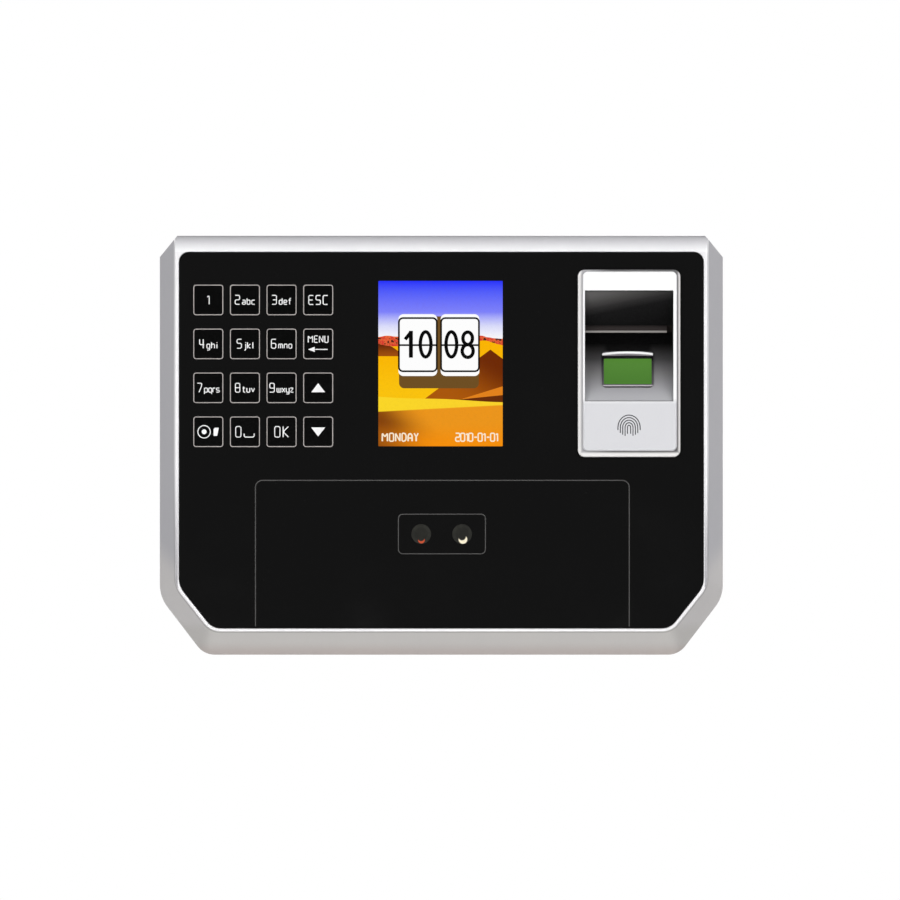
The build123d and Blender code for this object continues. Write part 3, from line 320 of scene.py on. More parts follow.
# Painted shade: the rolled crown goes from light grey at its foot to darker grey at the top.
crown_painted_shade = silver.ramp(
    (up - crown_foot) / crown_height,
    (0.0, 244, 244, 244),
    (0.25, 226, 226, 227),
    (0.6, 194, 193, 196),
    (0.92, 168, 168, 170),
    (1.0, 150, 150, 152),
)
bright = silver.blend((up > 67.0) * (abs(across) < 92.2), bright, crown_painted_shade)
bright = silver.blend(mist.ease(0.3, 0.7) * 0.12, bright, tint(170, 170, 176))
bright = silver.blend(sparkle * 0.07, bright, tint(250, 250, 252))
bright = silver.blend(rubbed * 0.35, bright, tint(240, 240, 240))
silver.feed(
    Base_Color=bright,
    Roughness=0.36 + (sparkle - 0.5) * 0.1 + (mist - 0.5) * 0.08,
    Metallic=0.15 + sparkle * 0.1,
    Normal=silver.relief(sparkle, 0.002, soft_edge),
)
coat(silver, "front_bezel")


# ---------------------------------------------------------------------- seals
# Die-cut closed-cell foam round the panel, the display and the finger module. It keeps
# dust and water out of the case.

foam = Finish("black_foam", Roughness=0.95)
bubbles = foam.cells(0.6)["Distance"]
foam.feed(
    Base_Color=foam.blend(bubbles.ease(0.1, 0.6), tint(16, 16, 17), tint(44, 44, 46)),
    Normal=foam.relief(bubbles, 0.15),
)
coat(foam, "panel_gasket", "lcd_gasket", "scanner_gasket")


# ---------------------------------------------------------------- front panel
# One sheet of black acrylic with a hard gloss coat, dropped on the gasket inside the
# rim. Openings are cut for the display, the cameras and the finger module.

gloss = Finish("panel_gloss", Coat_Weight=0.12, Coat_Roughness=0.04, Specular_IOR_Level=0.22)
hair = gloss.noise(0.5, 3.0, gloss.stretched(1, 1, 14))
smear = gloss.noise(30.0, 4.0)
lint = gloss.noise(0.9, 2.0).ease(0.74, 0.8)
gloss.feed(
    Base_Color=gloss.blend(lint * 0.2, tint(15, 15, 15), tint(48, 48, 48)),
    Roughness=0.07 + smear.ease(0.45, 0.8) * 0.07 + hair.ease(0.6, 0.8) * 0.05,
    Normal=gloss.relief(smear, 0.004),
)
coat(gloss, "front_panel")


# --------------------------------------------------------------- key printing
# Sixteen touch fields, screen printed on the panel: a black field in a thin warm grey
# frame with rounded corners, four across and four down.

panel_face = -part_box("front_panel")[0].y / mm
keypad_across, keypad_up = -61.6, 27.5
key_pitch_across, key_pitch_up = 12.67, 15.2


def settle(piece, body="terminal"):
    """A finished piece rides on its body."""
    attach(piece, body)
    return piece


def keep_mesh(piece):
    """What the modifiers or the curve of a piece make, as a plain mesh object."""
    ready = piece.evaluated_get(bpy.context.evaluated_depsgraph_get())
    mesh = bpy.data.meshes.new_from_object(ready)
    plain = bpy.data.objects.new("making", mesh)
    name = piece.name
    bpy.data.objects.remove(piece)
    plain.name = name
    mesh.name = name
    bpy.context.collection.objects.link(plain)
    return plain


class Pattern(Bench):
    """A Geometry Nodes tree with named sizes, which is run once for a plain mesh."""

    def __init__(self, name, **sizes):
        super().__init__(bpy.data.node_groups.new(name, "GeometryNodeTree"))
        self.name = name
        self.sizes = {size.replace("_", " "): value for size, value in sizes.items()}
        sockets = self.tree.interface
        sockets.new_socket("Geometry", in_out="INPUT", socket_type="NodeSocketGeometry")
        sockets.new_socket("Geometry", in_out="OUTPUT", socket_type="NodeSocketGeometry")
        for size, value in self.sizes.items():
            whole = isinstance(value, int)
            kind = "NodeSocketInt" if whole else "NodeSocketFloat"
            sockets.new_socket(size, in_out="INPUT", socket_type=kind)
        self.given = self.make("NodeGroupInput")

    def __getitem__(self, size):
        return self.given[size]

    def vector(self, x=0.0, y=0.0, z=0.0):
        return self.make("ShaderNodeCombineXYZ", {}, {"X": x, "Y": y, "Z": z})

    def placed(self, shape, where, turn=0.0):
        """A shape turned about the line across, and moved to (across, out, up)."""
        x, depth, up = where
        sockets = {
            "Geometry": shape,
            "Translation": (x * mm, -depth * mm, up * mm),
            "Rotation": (turn, 0.0, 0.0),
        }
        return self.make("GeometryNodeTransform", {}, sockets)

    def grid(self, columns, rows, pitch_across, pitch_up):
        """Points in rows and columns, from the names of their counts and pitches."""
        sockets = {
            "Size X": self[pitch_across] * (self[columns] - 1),
            "Size Y": self[pitch_up] * (self[rows] - 1),
            "Vertices X": self[columns],
            "Vertices Y": self[rows],
        }
        return self.make("GeometryNodeMeshGrid", {}, sockets)

    def wire(self, path, radius, steps):
        """A round wire with closed ends along a path."""
        sockets = {"Resolution": steps, "Radius": self[radius]}
        nib = self.make("GeometryNodeCurvePrimitiveCircle", {"mode": "RADIUS"}, sockets)
        sockets = {"Curve": path, "Profile Curve": nib, "Fill Caps": True}
        return self.make("GeometryNodeCurveToMesh", {}, sockets)

    def copies(self, points, shape):
        """One copy of a shape on each point."""
        sockets = {"Points": points, "Instance": shape}
        return self.make("GeometryNodeInstanceOnPoints", {}, sockets)

    def piece(self, shape, finish):
        real = self.make("GeometryNodeRealizeInstances", {}, {"Geometry": shape})
        sockets = {"Geometry": real, "Material": finish.material}
        done = self.make("GeometryNodeSetMaterial", {}, sockets)
        self.make("NodeGroupOutput", {}, {"Geometry": done})
        holder = bpy.data.objects.new(self.name, bpy.data.meshes.new(self.name))
        bpy.context.collection.objects.link(holder)
        pattern = holder.modifiers.new("pattern", "NODES")
        pattern.node_group = self.tree
        for socket in self.tree.interface.items_tree:
            if socket.in_out == "INPUT" and socket.name in self.sizes:
                pattern[socket.identifier] = self.sizes[socket.name]
        return keep_mesh(holder)


def key_grid(name, drawing, finish, lift):
    """The same flat shape on every one of the sixteen fields."""
    pattern = Pattern(
        name,
        Columns=4,
        Rows=4,
        Pitch_Across=key_pitch_across * mm,
        Pitch_Up=key_pitch_up * mm,
        Field_Width=10.05 * mm,
        Field_Height=10.25 * mm,
        Corner=0.8 * mm,
        Line=0.31 * mm,
        Ink=0.03 * mm,
    )
    grid = pattern.grid("Columns", "Rows", "Pitch Across", "Pitch Up")
    box = {"Width": pattern["Field Width"], "Height": pattern["Field Height"]}
    frame_line = pattern.make("GeometryNodeCurvePrimitiveQuadrilateral", {}, box)
    rounded = pattern.make(
        "GeometryNodeFilletCurve",
        {"mode": "POLY"},
        {"Curve": frame_line, "Radius": pattern["Corner"], "Count": 5},
    )
    fields = pattern.copies(grid, drawing(pattern, rounded))
    place = (keypad_across, panel_face + lift, keypad_up)
    return pattern.piece(pattern.placed(fields, place, math.pi / 2), finish)


def frame_ink(pattern, outline):
    """The outline as a flat printed line."""
    line = {"Width": pattern["Line"], "Height": pattern["Ink"]}
    nib = pattern.make("GeometryNodeCurvePrimitiveQuadrilateral", {}, line)
    sockets = {"Curve": outline, "Profile Curve": nib}
    return pattern.make("GeometryNodeCurveToMesh", {}, sockets)


def field_ink(pattern, outline):
    """The outline filled, as a thin printed layer."""
    flat = pattern.make("GeometryNodeFillCurve", {"mode": "NGONS"}, {"Curve": outline})
    sockets = {"Mesh": flat, "Offset Scale": pattern["Ink"] * 0.5, "Individual": False}
    return pattern.make("GeometryNodeExtrudeMesh", {}, sockets)


def screen_ink(name, colour, rough=0.45):
    """Screen-printed ink with an uneven mesh-marked surface."""
    finish = Finish(name, Specular_IOR_Level=0.3)
    weave = finish.noise(0.25, 1.0)
    patchy = finish.noise(4.0, 3.0).ease(0.35, 0.7)
    return finish.feed(
        Base_Color=finish.blend(patchy, shift(colour, 0.9), shift(colour, 1.05)),
        Roughness=rough + (weave - 0.5) * 0.2,
        Normal=finish.relief(weave, 0.004),
    )


key_ink = screen_ink("key_line_ink", tint(168, 162, 159))
field_black = screen_ink("key_field_black", tint(2, 2, 2), 0.16)
settle(key_grid("key_fields", field_ink, field_black, 0.004))
settle(key_grid("key_frames", frame_ink, key_ink, 0.015))


# --------------------------------------------------------------- key legends
# White ink on each touch field: a digit with its letters, or the sign of a menu key.
# The letters are drawn with straight strokes of one width on a narrow grid.

STROKES = {
    "0": "0 0,2 0,2 4,0 4,0 0", "1": "0.2 3.2,1 4,1 0", "2": "0 4,2 4,2 2,0 2,0 0,2 0",
    "3": "0 4,2 4,2 0,0 0;0.4 2,2 2", "4": "0 4,0 1.6,2 1.6;1.6 4,1.6 0",
    "5": "2 4,0 4,0 2.2,2 2.2,2 0,0 0", "6": "2 4,0 4,0 0,2 0,2 2.2,0 2.2",
    "7": "0 4,2 4,2 3,0.8 0", "8": "0 0,2 0,2 4,0 4,0 0;0 2,2 2",
    "9": "0 0,2 0,2 4,0 4,0 1.8,2 1.8", "-": "0.3 2,1.7 2",
    "a": "0.2 2.8,2 2.8,2 0,0 0,0 1.5,2 1.5", "b": "0 4,0 0,2 0,2 2.8,0 2.8",
    "c": "2 2.8,0 2.8,0 0,2 0", "d": "2 4,2 0,0 0,0 2.8,2 2.8",
    "e": "2 0,0 0,0 2.8,2 2.8,2 1.4,0 1.4", "f": "1.7 4,0.7 4,0.7 0;0 2.8,1.6 2.8",
    "g": "2 0,0 0,0 2.8,2 2.8,2 -1.2,0.2 -1.2", "h": "0 4,0 0;0 2.8,2 2.8,2 0",
    "i": "0.5 2.8,0.5 0;0.5 3.6,0.5 4.1", "j": "1 2.8,1 -1.2,0.1 -1.2;1 3.6,1 4.1",
    "k": "0 4,0 0;2 2.8,0 1.4,2 0", "l": "0.5 4,0.5 0",
    "m": "0 0,0 2.8,2.6 2.8,2.6 0;1.3 2.8,1.3 0", "n": "0 0,0 2.8,2 2.8,2 0",
    "o": "0 0,2 0,2 2.8,0 2.8,0 0", "p": "0 -1.2,0 2.8,2 2.8,2 0,0 0",
    "q": "2 -1.2,2 2.8,0 2.8,0 0,2 0", "r": "0 0,0 2.8,1.6 2.8",
    "s": "2 2.8,0 2.8,0 1.4,2 1.4,2 0,0 0", "t": "0.6 3.8,0.6 0,1.7 0;0 2.8,1.6 2.8",
    "u": "0 2.8,0 0,2 0,2 2.8", "v": "0 2.8,1 0,2 2.8",
    "w": "0 2.8,0 0,2.6 0,2.6 2.8;1.3 2.8,1.3 0", "x": "0 2.8,2 0;2 2.8,0 0",
    "y": "0 2.8,0 0,2 0;2 2.8,2 -1.2,0.2 -1.2", "z": "0 2.8,2 2.8,0 0,2 0",
    "A": "0 0,0 3,1 4,2 3,2 0;0 1.6,2 1.6", "C": "2 4,0 4,0 0,2 0",
    "D": "0 0,0 4,1.3 4,2 3.2,2 0.8,1.3 0,0 0", "E": "2 4,0 4,0 0,2 0;0 2,1.7 2",
    "K": "0 4,0 0;2 4,0 2,2 0", "M": "0 0,0 4,1.3 2.2,2.6 4,2.6 0",
    "N": "0 0,0 4,2.2 0,2.2 4", "O": "0 0,2 0,2 4,0 4,0 0", "S": "2 4,0 4,0 2,2 2,2 0,0 0",
    "U": "0 4,0 0,2 0,2 4", "Y": "0 4,1 2.1,2 4;1 2.1,1 0", "_": "0 1.3,0 0,3.8 0,3.8 1.3",
}


def softened(stroke, cut=0.42):
    """The stroke with its corners cut short, as a round pen would draw them."""
    closed = stroke[0] == stroke[-1]
    run = stroke[:-1] if closed else stroke
    path = []
    for k, spot in enumerate(run):
        if not closed and k in (0, len(run) - 1):
            path.append(spot)
            continue
        for other in (run[k - 1], run[(k + 1) % len(run)]):
            share = min(0.45, cut / math.dist(spot, other))
            path.append(tuple(a + (b - a) * share for a, b in zip(spot, other)))
    return path + path[:1] if closed else path


def letters(text, left, foot, height, gap=0.95):
    """The strokes of a line of text from its lower left corner, and where it ends."""
    unit = height / 4
    drawn = []
    for sign in text:
        strokes = [
            softened([tuple(map(float, point.split())) for point in stroke.split(",")])
            for stroke in STROKES[sign].split(";")
        ]
        wide = max(x for stroke in strokes for x, z in stroke)
        for stroke in strokes:
            drawn.append([(left + x * unit, foot + z * unit) for x, z in stroke])
        left += (wide + gap) * unit
    return drawn, left - (gap * unit if drawn else 0.0)


def centred(strokes, x, z=None):
    """The same strokes, moved so that their middle is at x, and at z if it is given."""
    wide = [point[0] for stroke in strokes for point in stroke]
    high = [point[1] for stroke in strokes for point in stroke]
    slide = x - (min(wide) + max(wide)) / 2
    rise = 0.0 if z is None else z - (min(high) + max(high)) / 2
    return [[(a + slide, b + rise) for a, b in stroke] for stroke in strokes]


def ring(x, z, wide, high, turn=(0, 360), steps=28):
    """An oval stroke, or a part of one."""
    angles = [math.radians(turn[0] + (turn[1] - turn[0]) * k / steps) for k in range(steps + 1)]
    points = [(x + wide / 2 * math.cos(a), z + high / 2 * math.sin(a)) for a in angles]
    if turn[1] - turn[0] == 360:
        points[-1] = points[0]
    return points


def pressed_lines(name, strokes, line, depth, finish, proud=0.03):
    """A wire along each stroke, pressed flat on the face at a depth."""
    wire = bpy.data.curves.new(name, "CURVE")
    wire.dimensions = "3D"
    wire.bevel_depth = line / 2 * mm
    wire.bevel_resolution = 1
    wire.use_fill_caps = True
    wire.materials.append(finish.material)
    for stroke in strokes:
        closed = stroke[0] == stroke[-1]
        points = stroke[:-1] if closed else stroke
        spline = wire.splines.new("POLY")
        spline.points.add(len(points) - 1)
        for point, (x, z) in zip(spline.points, points):
            point.co = (x * mm, 0.0, z * mm, 1.0)
        spline.use_cyclic_u = closed
    holder = bpy.data.objects.new(name, wire)
    bpy.context.collection.objects.link(holder)
    piece = keep_mesh(holder)
    flat = proud / (line / 2)
    for vertex in piece.data.vertices:
        vertex.co.y = vertex.co.y * flat - depth * mm
    return piece


LEGENDS = [
    ["1", "2abc", "3def", "ESC"],
    ["4ghi", "5jkl", "6mno", "MENU"],
    ["7pqrs", "8tuv", "9wxyz", "up"],
    ["ring", "0_", "OK", "down"],
]
pill_corners = [(-0.85, -1.4), (0.35, -1.4), (0.85, 1.0), (0.85, 1.4), (-0.45, 1.4), (-0.85, 0.9)]
legend_strokes = []
solid_signs = []
for row, legends in enumerate(LEGENDS):
    for column, legend in enumerate(legends):
        key_x = keypad_across + (column - 1.5) * key_pitch_across
        key_z = keypad_up + (1.5 - row) * key_pitch_up
        if legend in ("up", "down"):
            way = 1 if legend == "up" else -1
            base, tip = key_z - 1.5 * way, key_z + 1.6 * way
            solid_signs.append([(key_x - 2.4, base), (key_x + 2.4, base), (key_x, tip)])
        elif legend == "ring":
            ring_x, pill_x = key_x - 1.45, key_x + 2.7
            legend_strokes.append(ring(ring_x, key_z, 4.3, 4.3))
            solid_signs.append(ring(ring_x, key_z, 1.7, 1.7, steps=14)[:-1])
            solid_signs.append([(pill_x + x, key_z + z) for x, z in pill_corners])
        elif legend == "MENU":
            drawn, end = letters("MENU", 0.0, key_z + 0.5, 2.3, 1.05)
            legend_strokes += centred(drawn, key_x)
            arrow_z, tip = key_z - 1.9, key_x - 3.5
            legend_strokes.append([(key_x - 1.6, arrow_z), (key_x + 3.3, arrow_z)])
            barbs = [(tip + 2.3, arrow_z - 0.9), (tip + 2.3, arrow_z + 0.9)]
            solid_signs.append([(tip, arrow_z)] + barbs)
        elif legend[0].isdigit() and legend != "0_":
            digit, end = letters(legend[0], 0.0, key_z - 1.5, 3.1)
            close = 1.15 if len(legend) < 5 else 0.8
            small, end = letters(legend[1:], end + 0.95, key_z - 1.5, 2.05, close)
            legend_strokes += centred(digit + small, key_x)
        else:
            high = 3.1 if legend == "ESC" else 3.65
            drawn, end = letters(legend, 0.0, key_z - high / 2, high, 1.2)
            legend_strokes += centred(drawn, key_x)

white_ink = screen_ink("legend_ink", tint(232, 232, 232))
legend_depth = panel_face + 0.02
settle(
    pressed_lines("key_legends", legend_strokes, 0.38, legend_depth, white_ink, 0.022),
)


# ---------------------------------------------------------------- solid signs
# Solid shapes in the same white ink: the triangles of the two arrow keys, the head of
# the return arrow, and the dot and pill of the ring key.


def thin_shape(name, outlines, depths, finish):
    """Flat shapes with a thickness, from closed outlines in (x, z) and two depths."""
    corners = []
    faces = []
    for outline in outlines:
        count = len(outline)
        turning = sum(
            a[0] * b[1] - b[0] * a[1] for a, b in zip(outline, outline[1:] + outline[:1])
        )
        path = outline if turning > 0 else outline[::-1]
        start = len(corners)
        for depth in depths:
            corners += [(x * mm, -depth * mm, z * mm) for x, z in path]
        back = [start + k for k in range(count)]
        front = [start + count + k for k in range(count)]
        faces.append(front)
        faces.append(back[::-1])
        for k in range(count):
            after = (k + 1) % count
            faces.append([back[k], back[after], front[after], front[k]])
    mesh = bpy.data.meshes.new(name)
    mesh.from_pydata(corners, [], faces)
    mesh.materials.append(finish.material)
    piece = bpy.data.objects.new(name, mesh)
    bpy.context.collection.objects.link(piece)
    return piece


ink_depths = (panel_face, panel_face + 0.04)
settle(thin_shape("solid_signs", solid_signs, ink_depths, white_ink))


# ------------------------------------------------------------ panel printing
# Thin grey lines printed on the panel: a tall frame round the infrared zone, open at
# the panel's foot, and a small frame round the pair of cameras.


def rounded(x, z, wide, high, radius, steps=6):
    """The closed outline of a rectangle with rounded corners."""
    points = []
    for turn, (side, top) in enumerate([(1, 1), (-1, 1), (-1, -1), (1, -1)]):
        mid_x, mid_z = x + side * (wide / 2 - radius), z + top * (high / 2 - radius)
        for k in range(steps + 1):
            angle = math.radians(90 * turn + 90 * k / steps)
            points.append((mid_x + radius * math.cos(angle), mid_z + radius * math.sin(angle)))
    return points + points[:1]


zone_left, zone_right, zone_top, zone_foot, zone_corner = -64.3, 65.0, -12.1, -62.6, 2.4
zone = rounded(
    (zone_left + zone_right) / 2,
    (zone_top + zone_foot) / 2 - 20.0,
    zone_right - zone_left,
    zone_top - zone_foot + 40.0,
    zone_corner,
)
zone = [(zone_right, zone_foot)] + zone[:14] + [(zone_left, zone_foot)]
zone_ink = screen_ink("zone_line_ink", tint(70, 69, 68))
zone_lines = [zone, rounded(0.2, -30.65, 30.1, 13.7, 1.5)]
settle(
    pressed_lines("zone_lines", zone_lines, 0.38, panel_face + 0.01, zone_ink, 0.02),
)


# -------------------------------------------------------------------- display
# A colour display under a clear window: glass, light box and steel shield behind. It is
# lit, and shows a made-up desert scene under a clear sky.

hole_low, hole_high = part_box("display_window")
picture_left, picture_top = hole_low.x / mm, hole_high.z / mm

picture = Finish("lit_picture", Roughness=0.3, Emission_Strength=1.0, Specular_IOR_Level=0.0)
across, out, up = picture.axes()
right = across - picture_left
down = picture_top - up
ripple = picture.noise(5.0, 3.0)
fine = picture.noise(1.1, 2.0)
sky = picture.ramp(
    down / 19.5,
    (0.0, 38, 52, 255),
    (0.2, 84, 96, 255),
    (0.55, 128, 132, 255),
    (0.8, 222, 224, 255),
    (1.0, 252, 252, 255),
)
sand = picture.blend(down.ease(22.0, 40.0), tint(255, 184, 0), tint(255, 198, 12))
shade_start = 34.6 - down.ease(31.8, 39.4) * 20.8 + (ripple - 0.5) * 1.6
shade_tone = picture.blend(
    (down * 0.5 - right * 0.3).ease(2.0, 12.0), tint(112, 42, 4), tint(172, 88, 10)
)
right_shade = (right - shade_start).ease(-0.5, 0.4) * (down > 23.7 + abs(right - 38.7) * 0.75)
sand = picture.blend(right_shade, sand, shade_tone)
lit_wedge = (down > 41.2 - (right - 27.5) * 0.31) * (right > 27.5)
sand = picture.blend(lit_wedge, sand, tint(230, 132, 28))
sliver = lit_wedge * (down > 41.0 - (right - 27.5) * 0.1)
sand = picture.blend(sliver, sand, tint(104, 44, 8))
crest = 40.0 + right * 0.042 + (right * 0.2).wave() * 0.15
crest_low = 45.2 - right * 0.053
band = picture.blend(right.ease(0.0, 43.0), tint(255, 218, 40), tint(255, 214, 44))
sand = picture.blend(down > crest, sand, band)
low_dune = picture.blend(
    (right + (45.0 - down) * 0.9).ease(-5.0, 17.0), tint(112, 50, 8), tint(240, 152, 28)
)
low_dune = picture.blend(down.ease(48.0, 57.5), low_dune, tint(250, 146, 10))
left_fall = (right + (down - 45.0) * -1.1).ease(-16.0, 8.0)
low_dune = picture.blend(left_fall, tint(150, 78, 14), low_dune)
sand = picture.blend((down - crest_low).ease(-0.2, 0.2), sand, low_dune)
left_line = 21.4 + right * right * 0.062
left_shade = (down > left_line) * (right < 9.0) * (down < 26.0)
left_tone = picture.blend(down.ease(21.5, 26.0), tint(104, 38, 8), tint(160, 78, 12))
sand = picture.blend(left_shade, sand, left_tone)
ridge_colour = picture.blend(fine.ease(0.4, 0.6), tint(214, 58, 48), tint(240, 112, 60))
ridge_colour = picture.blend((fine > 0.58) * (down > 19.6), ridge_colour, tint(86, 32, 24))
ridge = down < 21.6 + (right * 0.31).wave() * 1.0 + (ripple - 0.5) * 2.0
sand = picture.blend(ridge, sand, ridge_colour)
skyline = down < 19.4 - (right * 0.42).wave() * 0.4 + (ripple - 0.5) * 1.6
lit = picture.blend(skyline, sand, sky)
lit = picture.blend(fine.ease(0.35, 0.75) * 0.04, lit, tint(120, 70, 30))
picture.feed(Base_Color=tint(4, 4, 4), Emission_Color=lit)
coat(picture, "lcd_glass")

window = Finish("clear_window", Alpha=0.02, Base_Color=tint(3, 3, 3), Specular_IOR_Level=0.3)
window_smear = window.noise(16.0, 3.0)
window.feed(Roughness=0.04 + window_smear.ease(0.5, 0.8) * 0.06)
coat(window, "display_window")

box_white = moulded("light_box_white", tint(226, 226, 222), 0.5, 0.8, 0.01)
coat(box_white, "lcd_backlight", "keypad_light_guide")
tin = bare_metal("tinned_steel", tint(196, 197, 196), 0.34, 0.0, (1, 1, 6), 1.6)
coat(tin, "lcd_shield", "shield_can")


# ----------------------------------------------------------------- clock face
# The picture on the display shows the time on two white split-flap cards with black
# digits, over their own shadow.

picture_face = -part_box("lcd_glass")[0].y / mm


def lit_ink(name, colour, strength=1.0):
    """A lit part of the picture, with the display's own fine dot pattern."""
    finish = Finish(name, Roughness=0.4, Emission_Strength=strength, Specular_IOR_Level=0.0)
    dots = finish.cells(0.18)["Distance"].ease(0.2, 0.6)
    return finish.feed(
        Base_Color=tint(3, 3, 3),
        Emission_Color=finish.blend(dots * 0.15, colour, shift(colour, 0.92)),
    )


def on_picture(x, z):
    """Where a point of the picture lies, from its top left corner."""
    return picture_left + x, picture_top - z


card_shadow = [rounded(*on_picture(20.9, 33.6), 27.6, 7.0, 1.8)[:-1]]
card_shadow.append(rounded(*on_picture(20.9, 21.4), 2.4, 18.4, 0.3)[:-1])
shadow_brown = lit_ink("card_shadow_brown", tint(112, 80, 36))
card_depths = (picture_face, picture_face + 0.02)
settle(thin_shape("card_shadow", card_shadow, card_depths, shadow_brown))

card_x = (13.6, 28.2)
cards = [rounded(*on_picture(x, 22.15), 13.4, 21.4, 1.7)[:-1] for x in card_x]
card_white = lit_ink("card_white", tint(255, 255, 255), 1.03)
card_depths = (picture_face, picture_face + 0.04)
settle(thin_shape("clock_cards", cards, card_depths, card_white))

card_lines = [rounded(*on_picture(x, 22.0), 13.1, 18.4, 1.4) for x in card_x]
card_lines += [[on_picture(x - 6.6, 22.16), on_picture(x + 6.6, 22.16)] for x in card_x]
card_black = lit_ink("card_black", tint(8, 8, 8))
settle(
    pressed_lines("card_lines", card_lines, 0.72, picture_face + 0.04, card_black, 0.02),
)

nought = [ring(*on_picture(x, 21.9), 3.7, 8.7) for x in (16.3, 25.2)]
eight = [ring(*on_picture(30.85, 19.8), 3.3, 4.3), ring(*on_picture(30.85, 24.2), 3.8, 4.4)]
one = [
    [on_picture(9.2, 20.2), on_picture(11.1, 17.8)],
    [on_picture(11.2, 17.2), on_picture(11.2, 26.5)],
]
settle(
    pressed_lines(
        "clock_digits", nought + eight + one, 1.4, picture_face + 0.04, card_black, 0.03
    ),
)


# ----------------------------------------------------------------- date line
# Cream lettering along the foot of the picture: the weekday on the left and the date on
# the right.

date_foot, date_height = 55.4, 2.75
weekday, end = letters("MONDAY", *on_picture(1.3, date_foot), date_height, 1.05)
date, end = letters("2010-01-01", *on_picture(26.7, date_foot), date_height, 0.52)
cream = lit_ink("date_cream", tint(255, 240, 214))
settle(
    pressed_lines("date_line", weekday + date, 0.55, picture_face + 0.03, cream, 0.03),
)


# -------------------------------------------------------------------- cameras
# Two small cameras look out through round smoked windows set flush in the panel. Lens
# barrels, a black shroud and a board stand behind them.

smoked = Finish("smoked_glass", Coat_Weight=0.2, Emission_Strength=1.0, Specular_IOR_Level=0.3)
across, out, up = smoked.axes()
camera_low, camera_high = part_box("camera_windows")
camera_up = (camera_low.z + camera_high.z) / 2 / mm
camera_radius = 3.4
left_camera = (camera_low.x / mm + camera_radius, camera_up)
right_camera = (camera_high.x / mm - camera_radius, camera_up)


def from_spot(spot, low=0.0, side=0.0):
    """How far a point is from a spot on the face, in millimetres."""
    sideways = across - (spot[0] + side)
    upward = up - (spot[1] + low)
    return (sideways * sideways + upward * upward) ** 0.5


depths = smoked.noise(2.6, 3.0)
iris = (from_spot(left_camera) < 2.3) + (from_spot(right_camera) < 2.3)
glass = smoked.blend(iris * 0.6, tint(44, 44, 40), tint(32, 32, 29))
glass = smoked.blend(depths.ease(0.35, 0.7) * 0.5, glass, tint(26, 26, 24))
# Painted reflections: a warm glint at the foot of the left window and a pale one at the foot of
# the right, which glow.
painted_warm_glint = (from_spot(left_camera, -2.1, 0.1) < 1.15) * (from_spot(left_camera, -1.3) > 1.2)
painted_pale_glint = (from_spot(right_camera, -1.9, 0.3) < 1.5) * (from_spot(right_camera, -0.9) > 1.3)
painted_glint_glow = smoked.blend(painted_warm_glint, tint(0, 0, 0), tint(196, 70, 30))
painted_glint_glow = smoked.blend(painted_pale_glint, painted_glint_glow, tint(246, 236, 208))
smoked.feed(
    Base_Color=glass,
    Roughness=0.16 + (depths - 0.5) * 0.1,
    Emission_Color=painted_glint_glow,
)
coat(smoked, "camera_windows")

black_plastic = moulded("black_plastic", tint(26, 26, 28), 0.5, 0.35, 0.015)
coat(black_plastic, "camera_barrels", "camera_shroud", "mid_frame")
coated_glass = Finish("coated_lens", Transmission_Weight=0.4, IOR=1.6, Coat_Weight=1.0)
bloom = coated_glass.noise(3.0, 2.0)
coated_glass.feed(
    Base_Color=coated_glass.blend(bloom, tint(60, 40, 110), tint(30, 80, 120)),
    Roughness=0.03 + bloom * 0.04,
)
coat(coated_glass, "camera_lenses", "scanner_lens")


# --------------------------------------------------------------- finger module
# The fingerprint module's own housing, moulded and sprayed silver white, with a flange
# over the panel, and a screwed cover behind.

pearl = Finish("module_silver", Coat_Weight=0.3, Coat_Roughness=0.1, Specular_IOR_Level=0.4)
across, out, up = pearl.axes()
pearl_flake = pearl.flakes(0.14)
pearl_mist = pearl.noise(18.0, 3.0)
pearl_edge, pearl_rub = pearl.corner(0.3)
body = pearl.blend(up.ease(14.0, 17.0), tint(200, 200, 203), tint(242, 242, 242))
flange_middle, flange_half, flange_foot = 65.17, 16.3, -1.98
past_side = abs(across - flange_middle) - flange_half
past_foot = flange_foot - up
step = past_side.reckon("MAXIMUM", past_side, past_foot)
# Painted shade: the flange darkens along the step to the raised block, more on the right than on
# the left.
painted_step_shade = pearl.blend(across.ease(50.0, 60.0), tint(160, 159, 162), tint(92, 90, 92))
flange_painted_shade = pearl.blend(step.ease(0.0, 1.0), painted_step_shade, tint(220, 218, 216))
body = pearl.blend(out < 39.3, body, flange_painted_shade)
body = pearl.blend(pearl_mist.ease(0.35, 0.7) * 0.08, body, tint(196, 196, 200))
body = pearl.blend(pearl_flake * 0.05, body, tint(250, 250, 250))
pearl.feed(
    Base_Color=pearl.blend(pearl_rub * 0.2, body, tint(236, 236, 236)),
    Roughness=0.34 + (pearl_flake - 0.5) * 0.1,
    Normal=pearl.relief(pearl_flake, 0.002, pearl_edge),
)
coat(pearl, "scanner_housing")


# --------------------------------------------------------------- finger cradle
# The hood, lip and ramp that lead a fingertip to the window, moulded in one piece and
# sprayed in a metallic grey. The hood's shadow is painted into that grey: painted shade
# on the hood, in the pocket under the lip and above the window, lighter down the ramp,
# with a painted highlight along the foot of the lip.

finger_across = 64.7
ramp_silver = Finish("ramp_silver", Specular_IOR_Level=0.0)
across, out, up = ramp_silver.axes()
ramp_flake = ramp_silver.flakes(0.15)
# Painted shade: the ramp goes from its grey at the foot to near black under the lip.
ramp_painted_shade = ramp_silver.ramp(
    (up - 15.4) / 20.0,
    (0.0, 166, 166, 169),
    (0.12, 158, 158, 161),
    (0.5, 112, 111, 112),
    (0.72, 66, 65, 66),
    (0.88, 40, 39, 39),
    (1.0, 8, 8, 8),
)
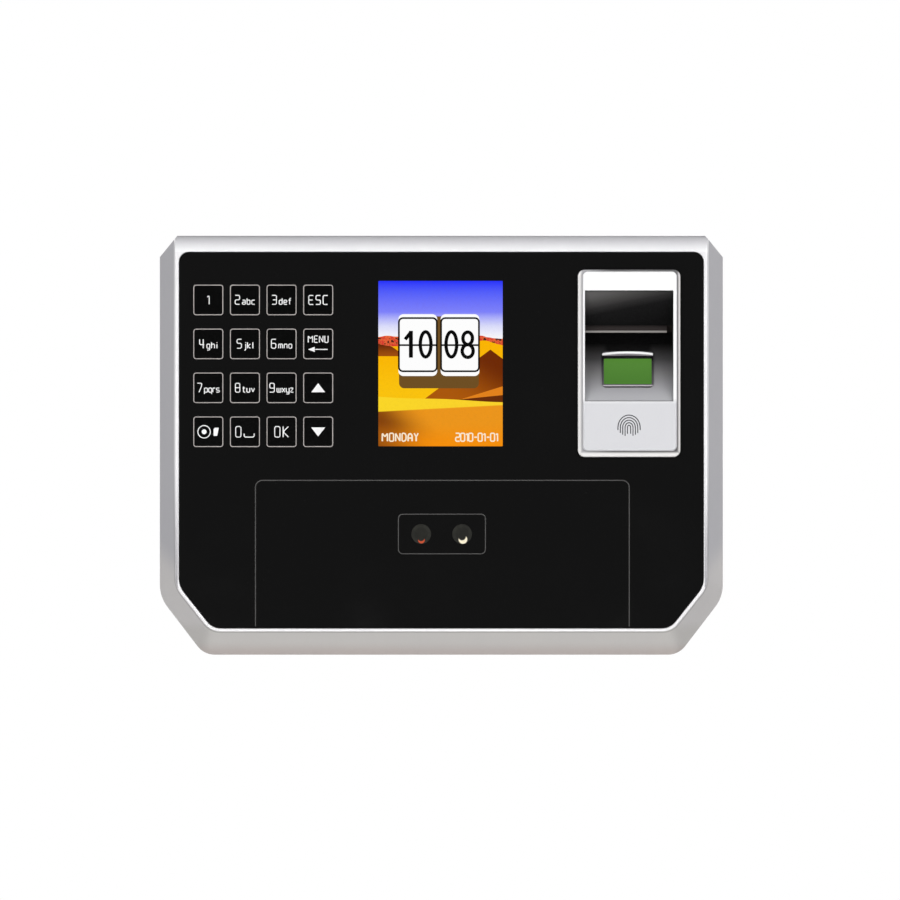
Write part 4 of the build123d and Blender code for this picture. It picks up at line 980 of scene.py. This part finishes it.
# Painted shade: the hood darkens as it falls into the recess, a little lighter to the left.
hood_fall = (53.4 - up) + (across - 50.0) * 0.2
hood_painted_shade = ramp_silver.ramp(
    hood_fall / 15.0,
    (0.0, 94, 93, 92),
    (0.15, 86, 85, 84),
    (0.3, 66, 65, 64),
    (0.45, 40, 39, 39),
    (0.6, 17, 17, 17),
    (1.0, 9, 9, 9),
)
# Painted shadow in the pocket under the lip.
pocket_painted_shadow = ramp_silver.blend(out < 33.0, tint(10, 10, 10), tint(6, 6, 6))
# Painted highlight along the foot of the lip, over painted shade above it and at its right end.
lip_painted_light = ramp_silver.blend(up.ease(39.9, 39.4), tint(40, 36, 35), tint(150, 146, 143))
lip_painted_light = ramp_silver.blend(across > 78.0, lip_painted_light, tint(26, 22, 20))
lip_mask = (up > 39.0) * (up < 41.5) * (out > 31.5)
# Painted shadow on the ramp just above the window.
painted_shadow_above_window = (8.8 - abs(across - finger_across)).ease(0.0, 2.0) * up.ease(31.4, 32.6)
ramp_painted_shade = ramp_silver.blend(painted_shadow_above_window * 0.85, ramp_painted_shade, tint(8, 8, 8))
cradle_painted_shade = ramp_silver.blend(up > 35.6, ramp_painted_shade, pocket_painted_shadow)
cradle_painted_shade = ramp_silver.blend((up > 41.2) * (out > 33.6), cradle_painted_shade, hood_painted_shade)
cradle_painted_shade = ramp_silver.blend(lip_mask, cradle_painted_shade, lip_painted_light)
ramp_silver.feed(
    Base_Color=ramp_silver.blend(ramp_flake * 0.02, cradle_painted_shade, tint(150, 150, 152)),
    Roughness=0.4 + (ramp_flake - 0.5) * 0.12,
    Normal=ramp_silver.relief(ramp_flake, 0.002),
)
coat(ramp_silver, "scanner_cradle")


# --------------------------------------------------------------- finger window
# The top of the sensor's glass prism, lit green from inside, in a raised frame with a
# bevelled top edge. A painted highlight runs along that edge, with painted shade in
# bands below it and a painted light line at its foot.

frame_low, frame_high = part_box("scanner_window_frame")
bead = Finish("window_bead", Specular_IOR_Level=0.1)
across, out, up = bead.axes()
bead_grain = bead.noise(0.3, 2.0)
# The painted highlight is bent lower towards its ends.
painted_highlight_sag = (across - finger_across) * (across - finger_across) * 0.0075 * (up > 31.0)
bead_edge, bead_rub = bead.corner(0.25)
# Painted highlight and painted shade in bands up the frame.
bead_painted_light = bead.ramp(
    (up + painted_highlight_sag - frame_low.z / mm) / ((frame_high.z - frame_low.z) / mm),
    (0.0, 40, 38, 40),
    (0.035, 70, 66, 70),
    (0.05, 196, 192, 196),
    (0.08, 84, 80, 84),
    (0.72, 44, 42, 44),
    (0.78, 10, 10, 11),
    (0.865, 12, 11, 12),
    (0.885, 112, 107, 112),
    (0.925, 140, 136, 140),
    (0.945, 252, 252, 252),
    (0.985, 252, 252, 252),
    (1.0, 70, 68, 70),
)
bead.feed(
    Base_Color=bead.blend(bead_rub * 0.12, bead_painted_light, tint(214, 212, 214)),
    Roughness=0.34 + (bead_grain - 0.5) * 0.2,
    Normal=bead.relief(bead_grain, 0.006, bead_edge),
)
coat(bead, "scanner_window_frame")

prism = Finish("lit_prism", Emission_Strength=0.6, Specular_IOR_Level=0.3)
across, out, up = prism.axes()
prism_mist = prism.noise(1.6, 3.0)
prism_glow = prism.blend(up.ease(21.0, 31.5), tint(76, 132, 44), tint(92, 150, 56))
prism_glow = prism.blend(prism_mist.ease(0.4, 0.7) * 0.15, prism_glow, tint(64, 116, 36))
prism.feed(
    Base_Color=prism.blend(prism_mist, tint(34, 60, 22), tint(44, 72, 28)),
    Emission_Color=prism_glow,
    Roughness=0.12 + prism_mist * 0.12,
)
coat(prism, "scanner_prism")


# ---------------------------------------------------------------- finger sign
# A small generic fingerprint sign in dark grey ink under the window: five nested arches
# over a short stem.

sign_x, sign_z = 64.9, 6.2
ridges = []
for turn, leg in enumerate((2.2, 2.9, 2.5, 1.9, 0.9)):
    half_wide, high = 0.55 + turn * 0.82, 0.75 + turn * 0.88
    arch = ring(sign_x, sign_z, half_wide * 2, high * 2, (0, 180), 18)
    feet = [(sign_x + side * half_wide, sign_z - leg) for side in (1, -1)]
    ridges.append(feet[:1] + arch + feet[1:])
housing_face = -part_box("scanner_housing")[0].y / mm
sign_ink = screen_ink("sign_ink", tint(58, 58, 62))
settle(
    pressed_lines("finger_sign", ridges, 0.34, housing_face + 0.01, sign_ink, 0.02),
)


# --------------------------------------------------------------- module inside
# What stands behind the finger ramp: green lamps, the sensor board, the black back cover
# and the folded steel strap that holds the module to the middle frame.

coat(black_plastic, "scanner_back_cover")
strap_steel = bare_metal("strap_steel", tint(170, 172, 174), 0.4, 0.0, (6, 1, 1), 2.0)
coat(strap_steel, "scanner_bracket")


def lamp(name, colour, strength):
    """A small lamp's clear package with its chip showing through."""
    finish = Finish(name, Emission_Strength=strength, Coat_Weight=0.8)
    chip = finish.noise(1.0, 2.0)
    return finish.feed(
        Base_Color=finish.blend(chip, shift(colour, 0.8), colour),
        Emission_Color=finish.blend(chip, colour, shift(colour, 0.6)),
        Roughness=0.12 + chip * 0.1,
    )


coat(lamp("green_lamp", tint(90, 220, 90), 2.0), "scanner_leds")
coat(lamp("white_lamp", tint(240, 240, 232), 0.6), "keypad_leds")
coat(lamp("dark_lamp", tint(34, 24, 40), 0.0), "ir_leds")


# --------------------------------------------------------------- circuit boards
# Glass-epoxy boards with a green solder mask over copper tracks, for the keypad, the
# cameras, the infrared lamps, the finger module and the main electronics.

board = Finish("solder_mask", Coat_Weight=0.35, Coat_Roughness=0.12)
across, out, up = board.axes()
bend = (board.noise(16.0, 1.0) - 0.5) * 9.0
track_up = ((up + bend).repeat(0.5) > 0.32) * (board.noise(7.0, 1.0) > 0.48)
track_side = ((across - bend).repeat(0.5) > 0.34) * (board.noise(9.0, 1.0) > 0.54)
track = (track_up + track_side).ease(0.0, 1.0)
pads = board.cells(2.3)["Distance"] < 0.16
mask_green = board.blend(track, tint(12, 68, 36), tint(34, 104, 56))
weave = board.noise(0.6, 2.0, board.stretched(1, 1, 3))
mask_green = board.blend(weave.ease(0.4, 0.7) * 0.15, mask_green, tint(60, 120, 70))
board.feed(
    Base_Color=board.blend(pads, mask_green, tint(206, 202, 190)),
    Metallic=pads * 0.9,
    Roughness=0.34 + (weave - 0.5) * 0.12,
    Normal=board.relief(track + pads, 0.03),
)
coat(board, "main_board", "keypad_board", "camera_board", "ir_board", "scanner_board")


# ----------------------------------------------------------------- board parts
# Moulded chips, the shield can, electrolytic capacitors, relay, coin cell and buzzer
# that stand on the main board, with the cream sockets for its ribbons.

chip_black = moulded("chip_epoxy", tint(34, 34, 36), 0.6, 0.3, 0.01)
coat(chip_black, "main_chips", "buzzer")
coat(moulded("relay_blue", tint(36, 84, 176), 0.35, 0.9, 0.004), "relay")
coat(bare_metal("cell_steel", tint(206, 206, 202), 0.22, 0.0, (1, 1, 4), 0.8), "coin_cell")
coat(moulded("holder_black", tint(30, 30, 32), 0.45, 0.4, 0.01), "coin_cell_holder")
coat(moulded("socket_nylon", tint(228, 220, 196), 0.5, 0.6, 0.008), "ribbon_sockets")

can = bare_metal("can_aluminium", tint(202, 204, 206), 0.25, 0.0, (1, 5, 1), 0.6)
across, out, up = can.axes()
sleeve = (out > 17.4) * (out < 23.2)
can.feed(Base_Color=can.blend(sleeve, can.base(), tint(22, 26, 44)), Metallic=1.0 - sleeve)
coat(can, "capacitors")


# -------------------------------------------------------------------- ribbons
# Flat flexible cables of copper strips between two films of amber polyimide, from the
# keypad, the display, the cameras and the finger module to the main board.

film = Finish("amber_film", Coat_Weight=0.6, Coat_Roughness=0.1)
across, out, up = film.axes()
strip = across.repeat(0.5).ease(0.18, 0.3)
crease = film.noise(2.2, 3.0)
amber = film.blend(crease.ease(0.3, 0.7), tint(196, 120, 30), tint(222, 150, 48))
film.feed(
    Base_Color=film.blend(strip * 0.5, amber, tint(150, 78, 26)),
    Roughness=0.26 + (crease - 0.5) * 0.15,
    Normal=film.relief(strip + crease * 0.3, 0.03),
)
coat(film, "board_ribbons", "scanner_ribbon")


# ------------------------------------------------------------- bay connectors
# The sockets that the installer reaches through the bay: a tinned network socket, a
# black power socket and two green rows of screw terminals.

coat(bare_metal("jack_tin", tint(172, 173, 172), 0.46, 0.2, (1, 1, 5), 1.4), "ethernet_jack")
coat(moulded("jack_black", tint(24, 24, 26), 0.4, 0.5, 0.01, 0.2), "power_jack")
coat(moulded("terminal_green", tint(28, 128, 66), 0.4, 0.7, 0.01, 0.2), "terminal_blocks")

gold = bare_metal("contact_gold", tint(222, 176, 84), 0.2, 0.0, (1, 1, 4), 0.5)
contacts = Pattern(
    "network_contacts",
    Count=8,
    Pitch=1.02 * mm,
    Wire=0.2 * mm,
    Reach=5.4 * mm,
    Rise=2.4 * mm,
)
row_line = contacts.make(
    "GeometryNodeMeshLine",
    {},
    {
        "Count": contacts["Count"],
        "Start Location": contacts.vector(contacts["Pitch"] * -3.5),
        "Offset": contacts.vector(contacts["Pitch"]),
    },
)
spring_wire = contacts.make(
    "GeometryNodeCurvePrimitiveBezierSegment",
    {"mode": "POSITION"},
    {
        "Resolution": 12,
        "Start": contacts.vector(),
        "Start Handle": contacts.vector(0.0, contacts["Rise"] * 0.2, contacts["Reach"] * -0.5),
        "End Handle": contacts.vector(0.0, contacts["Rise"] * 0.6, contacts["Reach"] * -1.0),
        "End": contacts.vector(0.0, contacts["Rise"], contacts["Reach"] * -0.55),
    },
)
wires = contacts.copies(row_line, contacts.wire(spring_wire, "Wire", 8))
wires = contacts.placed(wires, (-20.5, 12.2, -3.0))
settle(contacts.piece(wires, gold))


# --------------------------------------------------------------- solder joints
# The connectors' pins come through the main board and end in small bright cones of
# solder, in rows at their own pitch.

tin_lead = bare_metal("solder", tint(204, 206, 208), 0.18, 0.0, (1, 1, 1), 0.5)
joints = Pattern(
    "solder_joints",
    Across=22,
    Rows=2,
    Pitch=2.54 * mm,
    Joint=0.75 * mm,
    Point=0.3 * mm,
    Height=0.9 * mm,
)
rows = joints.grid("Across", "Rows", "Pitch", "Pitch")
cone = joints.make(
    "GeometryNodeMeshCone",
    {},
    {
        "Vertices": 12,
        "Radius Top": joints["Point"],
        "Radius Bottom": joints["Joint"],
        "Depth": joints["Height"],
    },
)
cones = joints.placed(joints.copies(rows, cone["Mesh"]), (-2.0, 14.4, -24.0), -math.pi / 2)
settle(joints.piece(cones, tin_lead))


# ------------------------------------------------------------ switch and reset
# A white acetal plunger that the wall holds in, on its switch, and a small red reset
# button in the bay. Both press against their own springs.

coat(moulded("switch_black", tint(28, 28, 30), 0.45, 0.5, 0.01), "push_switches")
coat(moulded("plunger_white", tint(232, 232, 226), 0.4, 0.9, 0.006, 0.2), "tamper_plunger")
coat(moulded("reset_red", tint(196, 30, 26), 0.35, 0.8, 0.006, 0.2), "reset_button")

spring_low, spring_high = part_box("tamper_spring")
wire_thickness = 0.22
coil_length = (spring_high.y - spring_low.y) / mm - 2 * wire_thickness
spring_bright = bare_metal("spring_wire", tint(190, 192, 194), 0.25, 0.0, (1, 6, 1), 0.5)
spring = Pattern(
    "tamper_coil",
    Turns=3.5,
    Coil_Radius=1.9 * mm,
    Coil_Length=coil_length * mm,
    Wire_Radius=wire_thickness * mm,
)
helix = spring.make(
    "GeometryNodeCurveSpiral",
    {},
    {
        "Resolution": 28,
        "Rotations": spring["Turns"],
        "Start Radius": spring["Coil Radius"],
        "End Radius": spring["Coil Radius"],
        "Height": spring["Coil Length"],
    },
)
coil = spring.wire(helix, "Wire Radius", 10)
coil_place = (0.0, wire_thickness - spring_high.y / mm, 28.0)
coil = spring.placed(coil, coil_place, math.pi / 2)
tamper_coil = spring.piece(coil, spring_bright)
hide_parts("tamper_spring")
settle(tamper_coil)
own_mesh(tamper_coil)


# -------------------------------------------------------------------- speaker
# A small oval speaker behind the slots in the left wall, with a treated paper cone in a
# pressed frame.

cone_paper = Finish("cone_paper", Roughness=0.85)
fibres = cone_paper.noise(0.5, 4.0, cone_paper.stretched(1, 3, 1))
cone_paper.feed(
    Base_Color=cone_paper.blend(fibres.ease(0.35, 0.7), tint(20, 20, 22), tint(46, 45, 46)),
    Normal=cone_paper.relief(fibres, 0.08),
)
coat(cone_paper, "speaker_cone")
coat(strap_steel, "speaker_frame")


# ------------------------------------------------------------------- USB port
# A tinned steel socket in the foot of the case, under a moulded rubber cover that swings
# on a steel pin.

coat(tin, "usb_port")
rubber = moulded("cover_rubber", tint(38, 38, 40), 0.75, 0.35, 0.02, 0.25)
coat(rubber, "usb_cover")
coat(spring_bright, "usb_cover_pin")


# ------------------------------------------------------------------- the room
# A plain pale floor well below, a pale surround, and soft lamps to either side, below
# and behind, so that from the front the gloss panel mirrors the dim middle of the room.

floor_mesh = bpy.data.meshes.new("floor")
half, floor_up = 0.3, -0.47
sides = ((-1, -1), (1, -1), (1, 1), (-1, 1))
floor_mesh.from_pydata([(x * half, y * half, floor_up) for x, y in sides], [], [(0, 1, 2, 3)])
floor = bpy.data.objects.new("floor", floor_mesh)
bpy.context.collection.objects.link(floor)
pale = Finish("pale_floor", Roughness=0.8)
floor_mesh.materials.append(pale.material)
cloudy = pale.noise(60.0, 3.0) * 0.3
pale.feed(Base_Color=pale.blend(cloudy, tint(236, 236, 235), tint(228, 228, 228)))
floor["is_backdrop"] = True

world = bpy.data.worlds.new("room")
bpy.context.scene.world = world
world.use_nodes = True
room = Bench(world.node_tree)
surround = room.tree.nodes["Background"]
looking = room.make("ShaderNodeTexCoord")["Generated"]
heading = room.make("ShaderNodeSeparateXYZ", {}, {0: looking})["Y"]
seen = room.make("ShaderNodeLightPath")["Is Camera Ray"]
grey_wall, dim_wall, white_wall = (0.3, 0.3, 0.31, 1.0), (0.05, 0.05, 0.05, 1.0), (1.0,) * 4
dim_middle = room.blend((heading * -1.0).ease(0.75, 0.97), grey_wall, dim_wall)
walls = room.blend(seen, dim_middle, white_wall)
room.tree.links.new(walls.socket, surround.inputs["Color"])


def soft_lamp(name, place, size, power):
    """A large square lamp, aimed at the terminal."""
    light = bpy.data.lights.new(name, "AREA")
    light.shape = "SQUARE"
    light.size = size
    light.energy = power
    holder = bpy.data.objects.new(name, light)
    holder.location = place
    holder.visible_camera = False
    holder.rotation_euler = (-holder.location).to_track_quat("-Z", "Y").to_euler()
    bpy.context.collection.objects.link(holder)


soft_lamp("lamp_left", (-0.78, -1.1, 0.5), 1.05, 11.4)
soft_lamp("lamp_right", (0.78, -1.1, 0.5), 1.05, 11.4)
soft_lamp("lamp_below", (0.0, -1.0, -0.42), 0.6, 3.3)
soft_lamp("lamp_behind", (0.5, 1.0, 0.3), 1.0, 9.0)
soft_lamp("lamp_behind_left", (-0.35, 1.1, -0.1), 0.9, 4.5)

view = bpy.data.cameras.new("camera")
view.sensor_width = 36.0
view.lens = 693.0
view.clip_start, view.clip_end = 0.1, 30.0
camera = bpy.data.objects.new("camera", view)
camera.location = (0.0030, -6.03, -0.0016)
camera.rotation_euler = (math.pi / 2, 0.0, 0.0)
bpy.context.collection.objects.link(camera)
bpy.context.scene.camera = camera
bpy.context.scene.view_settings.view_transform = "Standard"

low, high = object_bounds()
